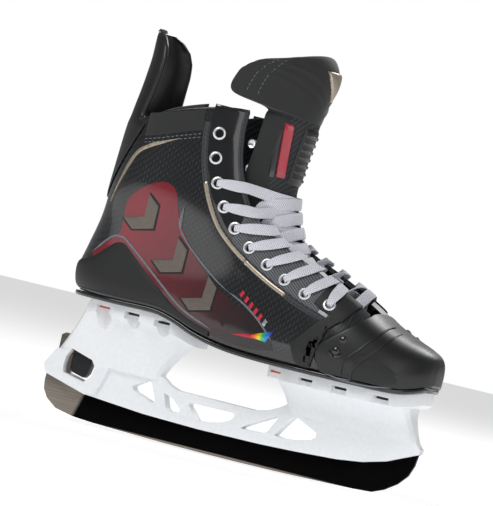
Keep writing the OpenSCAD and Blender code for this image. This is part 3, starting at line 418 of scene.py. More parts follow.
looks = {
    "carbon": carbonFilm(),
    "red": redFilm(),
    "lace": wovenLace(),
    "steelRunner": coatedSteel(),
    "foil": rainbowFoil(),
    # synthetic leather, embossed grain near 0.6 mm
    "leather": grained("mattSyntheticLeather", "#0e0f10", "#1a1b1d", 1700.0, 0.5, 0.68, 0.00012),
    "softLeather": grained("softNubuckMicrofibre", "#0f1011", "#1a1b1d", 900.0, 0.62, 0.8, 0.0001, Sheen_Weight=0.25),
    # patent leather: a thick wet-look coat
    "patent": grained("patentSyntheticLeather", "#07080a", "#131418", 60.0, 0.12, 0.2, 0.00015, Coat_Weight=1.0,
                      Coat_Roughness=0.04),
    # injection moulded thermoplastic, spark-eroded mould gives a fine satin
    "moulded": grained("mouldedThermoplastic", "#0b0c0d", "#151618", 1200.0, 0.36, 0.5, 0.00006, Coat_Weight=0.15,
                       Coat_Roughness=0.3),
    "gloss": grained("glossyMouldedNylon", "#0c0d0f", "#1c1e22", 140.0, 0.14, 0.24, 0.00004, Coat_Weight=0.6),
    "rib": banded("ribbedTextile", "#1a1b1d", "#6a6d72", 1.7, (0, math.radians(52), 0), 0.75, 0.0003),
    "herring": banded("ribbedTongueTextile", "#101112", "#2c2e31", 2.6, (0, math.radians(-35), 0), 0.7, 0.0004),
    "nylon": grained("mouldedWhiteNylon", "#e6e9ec", "#f4f6f8", 350.0, 0.34, 0.46, 0.00005, Subsurface_Weight=0.08,
                     Subsurface_Radius=(0.004, 0.004, 0.005)),
    "taupe": grained("satinTaupePrint", "#5a534d", "#776e66", 700.0, 0.35, 0.5, 0.00004, Metallic=0.35),
    "bronze": grained("champagneFoil", "#9a8d7c", "#c9bfae", 500.0, 0.25, 0.4, 0.00003, Metallic=0.7),
    "silver": grained("brushedSilverFoil", "#b9bbc2", "#e6e8ee", 400.0, 0.18, 0.32, 0.00003, Metallic=0.8),
    "greyLine": grained("greyPrintedLine", "#55585c", "#7c8086", 600.0, 0.4, 0.5, 0.0),
    "darkPrint": grained("blackPrint", "#08090a", "#131416", 600.0, 0.35, 0.45, 0.0),
    "redGloss": grained("redGlossInsert", "#8d1428", "#b52038", 90.0, 0.16, 0.24, 0.00005, Coat_Weight=0.8),
    "redPrint": grained("redPrint", "#b0162c", "#cc2a40", 300.0, 0.4, 0.5, 0.0),
    "plated": grained("nickelPlatedBrass", "#d9dadd", "#f2f2f4", 300.0, 0.2, 0.32, 0.00002, Metallic=0.6),
    "copper": grained("copperRivet", "#a84a34", "#d0705a", 500.0, 0.3, 0.45, 0.00003, Metallic=0.7),
    "blackSteel": grained("blackOxideSteel", "#17181a", "#2c2e31", 800.0, 0.35, 0.5, 0.00003, Metallic=0.6),
    "thread": grained("bondedNylonThread", "#0a0a0b", "#1d1e20", 1500.0, 0.5, 0.7, 0.0001),
    "greyThread": grained("greyNylonThread", "#5b5e63", "#7d8187", 1500.0, 0.5, 0.7, 0.0001),
    "binding": grained("wovenBinding", "#2a2c2f", "#43464b", 1300.0, 0.65, 0.8, 0.0002),
    "knit": grained("brushedKnitLining", "#1e2023", "#34373b", 800.0, 0.8, 0.95, 0.0003, Sheen_Weight=0.4),
    "foam": grained("closedCellFoam", "#2b2d30", "#45484d", 700.0, 0.8, 0.9, 0.0003),
    "board": grained("fibreBoard", "#5b5140", "#7c7059", 300.0, 0.8, 0.9, 0.0002),
    "clearTip": grained("acetateTip", "#dfe0e4", "#f4f4f6", 200.0, 0.15, 0.25, 0.0, Coat_Weight=0.5),
    "brassRing": grained("rolledBrass", "#9a7d4c", "#c3a56c", 400.0, 0.3, 0.45, 0.0, Metallic=1.0),
    "springSteel": grained("springSteel", "#8a8c90", "#b6b8bc", 900.0, 0.25, 0.35, 0.0, Metallic=1.0),
}
print("materials made:", len(looks))


# ---- making meshes ----
def addPiece(name, points, faces, look, body="boot", smooth=35.0, uv=None):
    mesh = bpy.data.meshes.new(name)
    mesh.from_pydata([tuple(p) for p in np.asarray(points, float) * mm], [], [tuple(f) for f in faces])
    mesh.materials.append(looks[look])
    if uv is not None:
        layer = mesh.uv_layers.new(name="laceUV")
        index = np.zeros(len(mesh.loops), int)
        mesh.loops.foreach_get("vertex_index", index)
        layer.data.foreach_set("uv", np.asarray(uv, float)[index].ravel())
    piece = bpy.data.objects.new(name, mesh)
    bpy.context.scene.collection.objects.link(piece)
    fixFaces(piece)
    if smooth:
        smoothed(piece, smooth)
    if body:
        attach(piece, body)
    return piece


def fixFaces(piece):
    # doubles merged, faces turned outwards
    bm = bmesh.new()
    bm.from_mesh(piece.data)
    bmesh.ops.remove_doubles(bm, verts=bm.verts, dist=1e-6)
    bmesh.ops.recalc_face_normals(bm, faces=bm.faces)
    bm.to_mesh(piece.data)
    bm.free()


def smoothed(piece, angle):
    bpy.ops.object.select_all(action="DESELECT")
    piece.select_set(True)
    bpy.context.view_layer.objects.active = piece
    bpy.ops.object.shade_smooth_by_angle(angle=math.radians(angle))


def applied(piece, kind, **settings):
    bpy.ops.object.select_all(action="DESELECT")
    piece.select_set(True)
    bpy.context.view_layer.objects.active = piece
    added = piece.modifiers.new(kind.lower(), kind)
    for key, value in settings.items():
        setattr(added, key, value)
    bpy.ops.object.modifier_apply(modifier=added.name)
    return piece


def gridFaces(rows, cols, closed=False):
    faces = []
    for i in range(rows - 1):
        for j in range(cols if closed else cols - 1):
            k = (j + 1) % cols
            faces.append((i * cols + j, i * cols + k, (i + 1) * cols + k, (i + 1) * cols + j))
    return faces


def tubeOf(rings, capped=True):
    # rings: n x m x 3, each a closed loop; the ends are closed with a fan round a middle point
    rings = np.asarray(rings, float)
    n, m = rings.shape[:2]
    points = rings.reshape(-1, 3)
    faces = gridFaces(n, m, closed=True)
    if capped:
        points = np.vstack([points, rings[0].mean(0), rings[-1].mean(0)])
        for j in range(m):
            faces.append((j, (j + 1) % m, n * m))
            faces.append(((n - 1) * m + j, (n - 1) * m + (j + 1) % m, n * m + 1))
    return points, faces


def stripCapped(rings):
    # closed loops whose first half faces their second half: the ends are closed by quads across
    rings = np.asarray(rings, float)
    n, m = rings.shape[:2]
    faces = gridFaces(n, m, closed=True)
    for base in (0, (n - 1) * m):
        for j in range(m // 2 - 1):
            faces.append((base + j, base + j + 1, base + m - 2 - j, base + m - 1 - j))
    return rings.reshape(-1, 3), faces


# ---- lace: flat woven ribbon ----
laceSet = {
    "width": 8.6, "gathered": 4.9, "thick": 1.3,
    "freeWidth": 4.4, "freeThick": 1.3,  # the free ends are gathered to half their width
    "coilTurns": 2, "tipHigh": 106.4, "tipArc": 9.0, "tipShift": 4.0,
    "coilX": -86.0, "coilStraight": 24.0, "coilTop": 114.0, "coilHigh": 9.0,
}
eyelets = [(-42.8, 229.3), (-40.8, 211.3), (-34.9, 193.9), (-25.6, 178.1), (-13.7, 164.8),
           (0.5, 153.6), (16.6, 144.4), (33.2, 136.7), (51.2, 130.1), (70.6, 126.3)]
lowerArches = [(93, 117, 62, 20, 8, 4), (80, 126.5, 62, 25, 12, 7), (64, 135, 62, 28, 15, 9),
               (49, 141.5, 60, 30, 18, 9), (36, 149, 52, 31, 22, 9), (26, 160, 36, 30, 26, 9),
               (18, 175, 22, 28, 30, 9), (13, 189, 10, 26.5, 32, 9), (11, 199, 3, 25.5, 33, 9)]


def ribbon(line, normals, widths, thick):
    # a flattened oval section carried along the line; UV is in millimetres
    line, normals = np.asarray(line, float), unit(normals)
    along = unit(np.gradient(line, axis=0))
    across = unit(np.cross(along, normals))
    normals = unit(np.cross(across, along))
    turn = np.arange(12) * math.pi / 6
    c, s = np.cos(turn), np.sin(turn)
    c, s = np.sign(c) * np.abs(c) ** 0.7, np.sign(s) * np.abs(s) ** 0.7
    rings = (line[:, None] + across[:, None] * (c[None, :, None] * np.asarray(widths)[:, None, None] / 2)
             + normals[:, None] * (s[None, :, None] * thick / 2))
    far = np.concatenate([[0], np.cumsum(np.linalg.norm(np.diff(line, axis=0), axis=1))])
    uv = np.stack([c[None, :] * np.asarray(widths)[:, None] / 2, np.repeat(far[:, None], 12, 1)], -1).reshape(-1, 2)
    points, faces = tubeOf(rings)
    return points, faces, np.vstack([uv, [0, 0], [0, far[-1]]]), far[-1]


def freeEnd(side):
    # from the eyelet down the side of the ankle, then round the coil in the heel
    s = laceSet
    start, _ = onSide(eyelets[2][0], eyelets[2][1], side, -4.9)
    lead = [start] + [np.array([x, y * -side, z]) for x, y, z in
                      ((-40, -26, 186), (-47, -23, 170), (-54, -21, 150), (-60, -21.5, 132), (-66, -22, 120))]
    tier = s["coilTop"] - s["coilHigh"] + (2.2 if side < 0 else 6.8)
    first = 22.0 if side < 0 else 20.4
    coil = []
    half = s["coilStraight"] / 2
    turns = s["coilTurns"] + 1
    for step in range(turns * 20 + 1):
        t = step / 20
        radius = first - min(t, turns - 1) * (1.9 if side < 0 else 1.7)
        radius += (s["tipArc"] + s["tipShift"] - radius) * float(ramp(t, turns - 1, turns - 0.3))
        part = 20 if step == turns * 20 else step % 20  # 4 steps on each straight, 6 round each end
        # the lower lace sinks to its tip first and the upper one only once it has passed over it
        sink = ramp(t, turns - 1, turns - 0.3) if side < 0 else ramp(t, turns - 0.195, turns)
        z = tier + (s["tipHigh"] - tier) * float(sink)
        if part < 4:
            p = (half - part / 4 * 2 * half, -radius)
        elif part < 10:
            a = (part - 4) / 6 * math.pi
            p = (-half - radius * math.sin(a), -radius * math.cos(a))
        elif part < 14:
            p = (-half + (part - 10) / 4 * 2 * half, radius)
        else:
            a = (part - 14) / 6 * math.pi
            reach, shift = (s["tipArc"], s["tipShift"]) if t > turns - 0.3 else (radius, 0.0)
            p = (half + reach * math.sin(a), shift + reach * math.cos(a))
        coil.append(np.array([s["coilX"] + p[0], p[1] * -side, z]))
    route = smoothLine(lead + coil[1:], 5)
    middle = np.array([s["coilX"], 0, 0])
    facing = route - middle
    facing[:, 0] = np.sign(facing[:, 0]) * np.maximum(np.abs(facing[:, 0]) - half, 0)
    facing[:, 2] = 0
    inLead = np.arange(len(route)) < 5 * (len(lead) - 1)
    facing[inLead] = (0, side, 0)
    points, faces, uv, length = ribbon(route, facing, np.full(len(route), s["freeWidth"]), s["freeThick"])
    name = "freeLaceLateral" if side < 0 else "freeLaceMedial"
    piece = addPiece(name, points, faces, "lace", uv=uv)
    node = "lace_end_lateral" if side < 0 else "lace_end_medial"
    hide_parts(node, "lace_coil")
    print(name, "is", round(length), "mm long")


for side in (-1, 1):
    freeEnd(side)


# ---- the laced part: crossings over the tongue, dives at the eyelets ----
eyeletAt = [0, 0, 7.7, 6.85, 6.1, 5.4, 4.7, 3.75, 2.75, 1.6]
edgeHeights = [229, 211, 194, 178, 168, 161, 154.5, 149, 144, 141]
overStay, underWall = 3.0, -4.9


def edgePoint(h):
    x = curve(h, bootLines["throat"])
    return np.array([float(x), float(sliceZ(x, np.asarray(h, float)))])


def archPoint(station, f, off):
    i = min(int(station), len(lowerArches) - 2)
    a, b, u = np.array(lowerArches[i], float), np.array(lowerArches[i + 1], float), station - i
    s = a * (1 - u) + b * u
    f, tilt = math.radians(f), math.radians(s[2])
    drop = s[4] * (1 - math.cos(f)) - off
    n = np.array([math.cos(tilt), 0, math.sin(tilt)])
    p = np.array([s[0], (s[3] + off) * math.sin(f), s[1]]) - n * drop
    facing = n * math.cos(f) * s[3] + np.array([0, math.sin(f) * s[4], 0])
    return p, facing


def nearEyelet(k, side, lift, share=0.0):
    # the facing is averaged over the size of an eyelet's flange
    x, z = np.array(eyelets[k]) + (edgePoint(edgeHeights[k]) - eyelets[k]) * share
    turn = np.arange(8) * math.pi / 4
    around, _ = onSide(x + 5 * np.cos(turn), z + 5 * np.sin(turn), side)
    spread = around - around.mean(0)
    n = np.linalg.svd(spread)[2][2]
    n = n * np.sign(n[1] * side)
    return onSide(x, z, side)[0] + n * lift, n


def lacedHalf(side):
    # rows of (place, facing, width)
    s = laceSet
    wide, tight = s["width"], s["gathered"]
    rows = []

    def dive(k, side):
        lip, n0 = nearEyelet(k, side, overStay - 0.2, 1.08)
        edge, n1 = nearEyelet(k, side, overStay, 0.72)
        mid, n2 = nearEyelet(k, side, overStay + 0.5, 0.36)
        hole, n3 = nearEyelet(k, side, overStay - 0.4, 0.03)
        inside, _ = nearEyelet(k, side, -1.0)
        under, _ = nearEyelet(k, side, underWall)
        away = unit(hole - edge)
        return [(lip, n0, wide), (edge, n1, wide), (mid, n2, wide * 0.86), (hole, n3 + away, tight),
                (inside, away, tight), (under, away - n3 * 0.3, tight)]

    first, last = 9, 2
    for f in (0, 40 * side):
        p, n = archPoint(eyeletAt[first], f, 1.4)
        rows.append((p, n, wide))
    rows += dive(first, side)
    for k in range(first, last, -1):
        from_ = side * (1 if (first - k) % 2 == 0 else -1)
        over = ((first - k) % 2 == 0) == (side < 0)
        a, b = eyeletAt[k], eyeletAt[k - 1]
        top = 3.6 if over else 1.5
        p, n = nearEyelet(k, from_, underWall, 0.72)
        rows.append((p, -n, tight + 1))
        p, n = nearEyelet(k, from_, underWall + 0.4, 1.05)
        rows.append((p, -n, tight + 2))
        for f in (64, 44, 22, 0, -22, -44):
            share = 0.12 + 0.76 * (64 - f) / 128
            lift = 1.3 + (top - 1.3) * math.cos(math.radians(f * 1.3)) ** 2
            p, n = archPoint(a + (b - a) * share, from_ * f, lift)
            rows.append((p, n, wide if abs(f) < 60 else tight + 2))
        rows += dive(k - 1, -from_)
    return rows


def lacedPart():
    left, right = lacedHalf(-1), lacedHalf(1)
    rows = left[::-1] + right[1:]
    line = smoothLine([r[0] for r in rows], 6)
    widths = smoothLine([[r[2], 0] for r in rows], 6)[:, 0]
    facing = []
    for a, b in zip(rows[:-1], rows[1:]):
        na, nb = unit(a[1]), unit(b[1])
        if len(facing) and np.dot(facing[-1], na) < 0:
            na = -na
        if np.dot(na, nb) < 0:
            nb = -nb
        for u in np.linspace(0, 1, 6, endpoint=False):
            facing.append(unit(na * (1 - u) + nb * u))
    facing.append(facing[-1])
    points, faces, uv, length = ribbon(line, facing, np.clip(widths, 4, 9), laceSet["thick"])
    piece = addPiece("lacedLace", points, faces, "lace", uv=uv)
    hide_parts("lace_laced")
    print("laced part is", round(length), "mm long")


lacedPart()

# ---- the shell, its lining and the padded collar: sections carried round the heel ----
wallSet = {"shellThick": 3.0, "rimRound": 1.0, "columns": 84, "inside": 3.9, "linerThick": 5.0,
           "collarThick": 8.0, "collarRound": 3.4, "frontGap": 30.0}


def wallSweep(name, section, columns, look, backOff=0.0, xMax=200.0, taper=0.0, **extra):
    # section: closed loop of (height, depth), outer half first, then the inner half back
    a = np.linspace(-1, 1, 2 * columns + 1)
    h, depth = np.array(section, float).T
    rings = []
    middle = depth.mean()
    for value in a:
        ends = np.clip((1 - abs(value)) / 0.02, 0, 1) if taper else 1
        d = middle + (depth - middle) * math.sqrt(1 - (1 - ends) ** 2) if taper else depth
        rings.append(wallAt(h, np.full(len(h), value), d, backOff, xMax))
    points, faces = stripCapped(rings)
    return addPiece(name, points, faces, look, **extra)


def wallSection(low, high, outer, inner, rows, round_=0.0):
    hs = np.linspace(low, high, rows)
    out = [(h, outer) for h in hs]
    back = [(h, inner) for h in hs[::-1]]
    if round_:
        arc = np.linspace(0, math.pi, 8)[1:-1]
        mid, half = (outer + inner) / 2, (inner - outer) / 2
        tip = [(high + round_ * math.sin(t), mid - half * math.cos(t)) for t in arc]
        return out + tip[:3] + tip[3:] + back
    return out + back


def eyeletCutter(side, radius):
    # one mesh of plain pins through all ten eyelets of a side
    pins = bmesh.new()
    for k in range(len(eyelets)):
        p, n = nearEyelet(k, side, 0.0)
        place = Matrix.Translation(Vector(p * mm)) @ Vector(n).to_track_quat("Z", "Y").to_matrix().to_4x4()
        bmesh.ops.create_cone(pins, cap_ends=True, segments=32, radius1=radius * mm, radius2=radius * mm,
                              depth=22 * mm, matrix=place)
    mesh = bpy.data.meshes.new("eyeletCutter")
    pins.to_mesh(mesh)
    pins.free()
    cutter = bpy.data.objects.new("eyeletCutter", mesh)
    bpy.context.scene.collection.objects.link(cutter)
    return cutter


def cutEyelets(piece, sides, radius=3.5):
    for side in sides:
        cutter = eyeletCutter(side, radius)
        applied(piece, "BOOLEAN", operation="DIFFERENCE", object=cutter, solver="EXACT")
        bpy.data.objects.remove(cutter)
    smoothed(piece, 40)


shell = wallSweep("outerShell", wallSection(95.6, 249.6, 0.0, wallSet["shellThick"], 60, wallSet["rimRound"]),
                  wallSet["columns"], "carbon")
cutEyelets(shell, (-1, 1))
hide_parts("shell")
liningInner = wallSet["inside"] + wallSet["linerThick"]
lining = wallSweep("quarterLining", wallSection(104.5, 210, wallSet["inside"], liningInner, 34), 50, "knit",
                   backOff=wallSet["frontGap"], xMax=62.0)
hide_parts("liner")
collarInner = wallSet["inside"] + wallSet["collarThick"]
collarSection = wallSection(211.5, 250.5, wallSet["inside"], collarInner, 14, wallSet["collarRound"])
collar = wallSweep("collarPad", collarSection, 60, "softLeather", backOff=wallSet["frontGap"], taper=1.0)
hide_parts("collar_foam")
print("shell, lining and collar made")


# ---- plates under the foot ----
def soleRing(x, z0, z1, inset, corner=1.3, steps=5):
    d = np.maximum(x - curve(soleZ(x) + 9, bootLines["back"]), 0) / heelRound
    w = max(float(halfWidth(x, soleZ(x) + 3) * (np.sqrt(1 - (1 - d) ** 2) if d < 1 else 1)) - inset, 1.0)
    base, corner = float(soleZ(x)), min(corner, (z1 - z0) / 2 - 0.02, w / 2)
    ring = []
    for cx, cz, start in ((w - corner, z0 + corner, -90), (w - corner, z1 - corner, 0),
                          (-w + corner, z1 - corner, 90), (-w + corner, z0 + corner, 180)):
        for k in range(steps):
            t = math.radians(start + 90 * k / (steps - 1))
            ring.append((x, cx + corner * math.cos(t), base + cz + corner * math.sin(t)))
    return ring


def solePlate(name, z0, z1, inset, xFrom, xTo, look, corner=1.3, **extra):
    span = np.linspace(0, 1, 90)
    xs = xFrom + (xTo - xFrom) * (0.5 - 0.5 * np.cos(math.pi * span))
    points, faces = tubeOf([soleRing(x, z0, z1, inset, corner) for x in xs])
    return addPiece(name, points, faces, look, smooth=40, **extra)


plateSet = {"outsole": (0.0, 3.6, -0.7, -134.0, 145.5), "footbed": (8.7, 12.7, 10.4, -118.0, 118.0)}
outsole = solePlate("outsolePlate", *plateSet["outsole"], "gloss")
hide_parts("outsole")
footbed = solePlate("footbedPad", *plateSet["footbed"], "foam", corner=1.8)
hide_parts("footbed")


# ---- flat outlines laid on the side of the boot ----
def drape(name, outline, look, side=-1, lift=0.3, thick=1.0, step=4.0, bevel=0.35, bulge=0.0, surface=onSide,
          body="boot", smooth=40.0):
    # the outline is filled, cut into a grid, bent onto the surface and given a thickness
    outline = np.array(outline, float)
    bm = bmesh.new()
    face = bm.faces.new([bm.verts.new((x, 0, z)) for x, z in outline])
    bmesh.ops.triangulate(bm, faces=[face])
    low, high = outline.min(0), outline.max(0)
    for axis, normal in ((0, (1, 0, 0)), (1, (0, 0, 1))):
        for at in np.arange(math.floor(low[axis] / step) * step + step / 2, high[axis], step):
            place = (at, 0, 0) if axis == 0 else (0, 0, at)
            bmesh.ops.bisect_plane(bm, geom=bm.verts[:] + bm.edges[:] + bm.faces[:], plane_co=place, plane_no=normal)
    bmesh.ops.remove_doubles(bm, verts=bm.verts, dist=0.02)
    bmesh.ops.dissolve_degenerate(bm, dist=0.02, edges=bm.edges)
    flat = np.array([(v.co.x, v.co.z) for v in bm.verts])
    rise = np.full(len(flat), float(lift))
    if bulge:
        edge = [min(np.linalg.norm(p - q) for q in denser(outline, 3.0)) for p in flat]
        rise += bulge * ramp(edge, 0, 7)
    top, n = surface(flat[:, 0], flat[:, 1], side, rise)
    low, _ = surface(flat[:, 0], flat[:, 1], side, lift - thick)
    for v, p in zip(bm.verts, top):
        v.co = p * mm
    bm.verts.index_update()
    made = bm.verts[:]
    old = bm.faces[:]
    border = [e for e in bm.edges if e.is_boundary]
    twin = [bm.verts.new(p * mm) for p in low]
    for f in old:
        bm.faces.new([twin[v.index] for v in reversed(f.verts)])
    for e in border:
        a, b = e.verts
        bm.faces.new([made[b.index], made[a.index], twin[a.index], twin[b.index]])
    bmesh.ops.recalc_face_normals(bm, faces=bm.faces)
    mesh = bpy.data.meshes.new(name)
    bm.to_mesh(mesh)
    bm.free()
    mesh.materials.append(looks[look])
    piece = bpy.data.objects.new(name, mesh)
    bpy.context.scene.collection.objects.link(piece)
    if bevel:
        applied(piece, "BEVEL", width=bevel * mm, segments=2, limit_method="ANGLE", angle_limit=math.radians(50))
    smoothed(piece, smooth)
    if body:
        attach(piece, body)
    return piece


def denser(outline, step):
    out = []
    for a, b in zip(outline, np.roll(outline, -1, axis=0)):
        n = max(1, int(np.linalg.norm(b - a) / step))
        out += [a + (b - a) * k / n for k in range(n)]
    return np.array(out)


def bothSides(name, outline, look, **extra):
    return [drape(name + ("Lateral" if side < 0 else "Medial"), outline, look, side=side, **extra)
            for side in (-1, 1)]


def band(line, width, sharpen=0.0):
    # an outline round a line, width wide, drawn to a point at its ends by sharpen
    line = smoothLine(line, 5)
    d = unit(np.gradient(line, axis=0))
    n = np.stack([-d[:, 1], d[:, 0]], -1)
    w = np.full(len(line), width / 2.0)
    if sharpen:
        t = np.linspace(0, 1, len(line))
        w *= np.clip(np.minimum(t, 1 - t) / sharpen, 0.08, 1)
    return np.vstack([line + n * w[:, None], (line - n * w[:, None])[::-1]])


graphicSet = {
    "redTop": [(-122, 126), (-113, 133), (-101, 143), (-100, 156), (-98.7, 168), (-91, 177), (-81.7, 183.5),
               (-71.4, 186.3), (-63, 181), (-57, 163.6), (-48, 149), (-38, 137), (-24, 126), (-8.6, 116), (17, 105),
               (33, 96)],
    "redLow": [(38, 86), (20, 83), (0, 84), (-20, 88), (-45, 98), (-70, 106), (-95, 108), (-118, 112)],
}
redOutline = np.vstack([smoothLine(graphicSet["redTop"], 4), smoothLine(graphicSet["redLow"], 4)])
bothSides("redField", redOutline, "red", lift=0.25, thick=0.5, bevel=0.0)
chevronSet = {"thick": 11.0, "arm": 17.0}
chevrons = [(-84, 159), (-56, 133), (-27, 111)]


def chevronOutline(x, z, grow=0.0):
    # an arrow head that points up and forward along the row
    along, across = np.array([0.76, -0.65]), np.array([0.65, 0.76])
    arm, thick = chevronSet["arm"], chevronSet["thick"]
    shape = [(-arm * 0.55, arm), (-arm * 0.55 + thick, arm), (thick * 1.05, 0), (-arm * 0.55 + thick, -arm),
             (-arm * 0.55, -arm), (0.5, 0)]
    c = np.mean(shape, axis=0)
    out = []
    for u, v in shape:
        d = np.array([u, v]) - c
        p = np.array([u, v]) + grow * d / np.linalg.norm(d) * 1.3
        out.append(np.array([x, z]) + along * p[0] + across * p[1] * 0.78)
    return np.array(out)


for k, (x, z) in enumerate(chevrons):
    bothSides(f"chevronShade{k + 1}", chevronOutline(x, z, 1.6), "darkPrint", lift=0.42, thick=0.4, bevel=0.0)
    emblem = bothSides(f"chevron{k + 1}", chevronOutline(x, z), "taupe", lift=0.95, thick=0.9, bevel=0.25)
    if k == 0:
        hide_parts("ankle_panels")

counterTop = [(-160, 119), (-136, 118), (-122, 122), (-107, 135.6), (-100, 137), (-94.5, 134), (-64.5, 112),
              (-41, 96.5), (-16, 88.5)]


def heelCounter():
    # raised panel round the heel; each column's top follows the counter's outline
    a = np.linspace(-1, 1, 161)
    rings = []
    for value in a:
        x = -139.5 + (-16 + 139.5) * value * value
        top = float(curve(x, counterTop))
        low = 97.0 if x < -62 else float(curve(x, [(-62, 97.0), (-45, 96.6), (-31, 96.5), (-16, 96.0)]))
        # heights as slices: above the flat heel they are lower than the place they give
        topSlice = (top + (sliceLow - soleZ(x)) * sliceFlat / (sliceFlat - sliceLow)) / (
            1 + (sliceLow - soleZ(x)) / (sliceFlat - sliceLow))
        topSlice = max(float(topSlice), low + 0.8)
        hs = np.linspace(low, topSlice, 12)
        outer = [(h, -1.35 * float(ramp(i, 0, 1.5) * ramp(11 - i, 0, 1.5)) - 0.05) for i, h in enumerate(hs)]
        inner = [(h, 0.4) for h in hs[::-1]]
        h, depth = np.array(outer + inner).T
        rings.append(wallAt(h, np.full(len(h), value), depth, 0.0, -16.0))
    points, faces = stripCapped(rings)
    piece = addPiece("heelCounter", points, faces, "leather", smooth=45)
    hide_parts("heel_counter")


heelCounter()
counterLine = [(-122, 125), (-107, 138.6), (-99, 140.5), (-92, 137.2), (-63, 115), (-40, 99.5), (-14, 90)]
bothSides("counterLine", band(counterLine, 1.5, 0.06), "greyLine", lift=0.6, thick=0.6, bevel=0.0, step=3.0)
heelStripe = [(-116, 164), (-109, 184), (-101, 201.5), (-92, 209), (-82, 214), (-70, 219.5)]
bothSides("heelStripe", band(heelStripe, 2.6, 0.3), "bronze", lift=0.75, thick=0.8, bevel=0.2, step=3.0)
bothSides("upperStripe", band([(-54, 176), (-56, 160), (-50, 150), (-38, 139), (-20, 126), (-4, 117.5)], 1.1, 0.2),
          "greyLine", lift=0.5, thick=0.5, bevel=0.0, step=3.0)
bothSides("forefootLine", band([(-6, 119), (8, 113), (22, 104), (36, 92)], 1.3, 0.1), "greyLine", lift=0.5, thick=0.5,
          bevel=0.0, step=3.0)
bothSides("foilTriangle", [(14, 92), (36, 99.5), (31, 90.5)], "foil", lift=0.6, thick=0.5, bevel=0.1)
bothSides("foilTail", [(2, 90.5), (22, 94.2), (24, 91)], "redPrint", lift=0.55, thick=0.4, bevel=0.05)
for k in range(6):
    # a short row of slanted bars
    x, z = 2 + 4.6 * k, 119.2 - 3.3 * k
    bothSides(f"tick{k + 1}", [(x, z), (x + 2.2, z - 1.6), (x + 3.9, z + 2.2), (x + 1.8, z + 3.8)],
              "redPrint" if k < 5 else "silver", lift=0.6, thick=0.5, bevel=0.05)
print("panels and graphics made")

# ---- eyestays: a patent top, a ribbed textile run and a leather tab ----
staySet = {"width": 25.0, "narrowing": 6.0}


def stayWidth(h):
    return staySet["width"] - staySet["narrowing"] * (1 - ramp(h, 131, 150))


def stayPoint(h, t, side, lift):
    # t runs from the throat edge back across the facing
    h, t = np.broadcast_arrays(np.asarray(h, float), np.asarray(t, float))
    x = curve(h, bootLines["throat"])
    z = sliceZ(x, h)
    x1, x0 = curve(h + 1, bootLines["throat"]), curve(h - 1, bootLines["throat"])
    d = np.stack([x1 - x0, sliceZ(x1, h + 1) - sliceZ(x0, h - 1)], -1)
    back = unit(np.stack([-d[..., 1], d[..., 0]], -1))
    p = np.stack([x, z], -1) + back * (t * stayWidth(h))[..., None]
    return onSide(p[..., 0], p[..., 1], side, lift)


def facing(name, h0, h1, t0, t1, look, side, lift, thick=1.2, slant=0.0, rows=60, cols=14):
    # an oval-edged strip along the throat edge
    rings = []
    for i in range(rows + 1):
        u = i / rows
        ts = np.linspace(t0, t1, cols)
        hs = h0 + (h1 - h0) * u + slant * (ts - 0.5) * (1 - u) * 4
        edge = np.minimum(np.minimum(ts - t0, t1 - ts) / (t1 - t0) * cols / 2, 1)
        end = min(u, 1 - u) * rows / 2
        high = lift - 0.7 * (1 - np.sqrt(1 - (1 - edge) ** 2)) - 0.7 * (1 - math.sqrt(1 - (1 - min(end, 1)) ** 2))
        top, _ = stayPoint(hs, ts, side, high)
        low, _ = stayPoint(hs, ts, side, lift - thick)
        rings.append(np.vstack([top, low[::-1]]))
    points, faces = stripCapped(rings)
    return addPiece(name, points, faces, look, smooth=50)


for side in (-1, 1):
    word = "Lateral" if side < 0 else "Medial"
    rib = facing("ribbedFacing" + word, 141.5, 180, 0.0, 0.93, "rib", side, 1.5)
    top = facing("patentFacing" + word, 176, 249.3, 0.0, 0.93, "patent", side, 1.75, slant=-1.6)
    tab = facing("leatherTab" + word, 134.5, 143.5, -0.02, 0.8, "leather", side, 1.8, rows=24)
    for piece in (rib, top, tab):
        cutEyelets(piece, (side,))
    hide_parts("lateral_eyestay" if side < 0 else "medial_eyestay")
    facing("rearBinding" + word, 139, 236, 0.93, 1.12, "binding", side, 1.3, rows=70, cols=6)
    facing("frontBinding" + word, 183, 248.6, 0.015, 0.15, "binding", side, 2.15, rows=50, cols=6)


for side in (-1, 1):
    word = "Lateral" if side < 0 else "Medial"
    facing("borderSlash" + word, 150, 203, 0.965, 1.1, "bronze", side, 1.75, rows=60, cols=6)

# padded band under the collar, with its two seams
collarBand = [(-96.5, 232.9), (-86, 235.3), (-75, 238.4), (-64, 241.8), (-56, 244.4), (-55, 229), (-64, 226.2),
              (-75, 222.5), (-86, 219), (-96.5, 216)]
bothSides("collarBand", collarBand, "softLeather", lift=0.85, thick=0.75, bevel=0.3, bulge=0.9, step=3.0)


# eyelets: a rolled ring turned once and copied to each hole
def eyeletRing():
    profile = [(3.1, -4.1), (3.6, -4.1), (3.6, 1.7), (4.55, 1.75), (4.75, 2.0), (4.6, 2.35), (4.1, 2.65),
               (3.6, 2.7), (3.25, 2.45), (3.1, 2.0)]
    bpy.ops.mesh.primitive_circle_add(vertices=3, radius=1, location=(0, 0, 0))
    ring = bpy.context.object
    bm = bmesh.new()
    verts = [bm.verts.new((r * mm, 0, z * mm)) for r, z in profile]
    loop = [bm.edges.new((verts[i], verts[(i + 1) % len(verts)])) for i in range(len(verts))]
    bmesh.ops.spin(bm, geom=verts + loop, cent=(0, 0, 0), axis=(0, 0, 1), angle=2 * math.pi, steps=36, use_merge=True)
    bmesh.ops.recalc_face_normals(bm, faces=bm.faces)
    bm.to_mesh(ring.data)
    bm.free()
    return ring


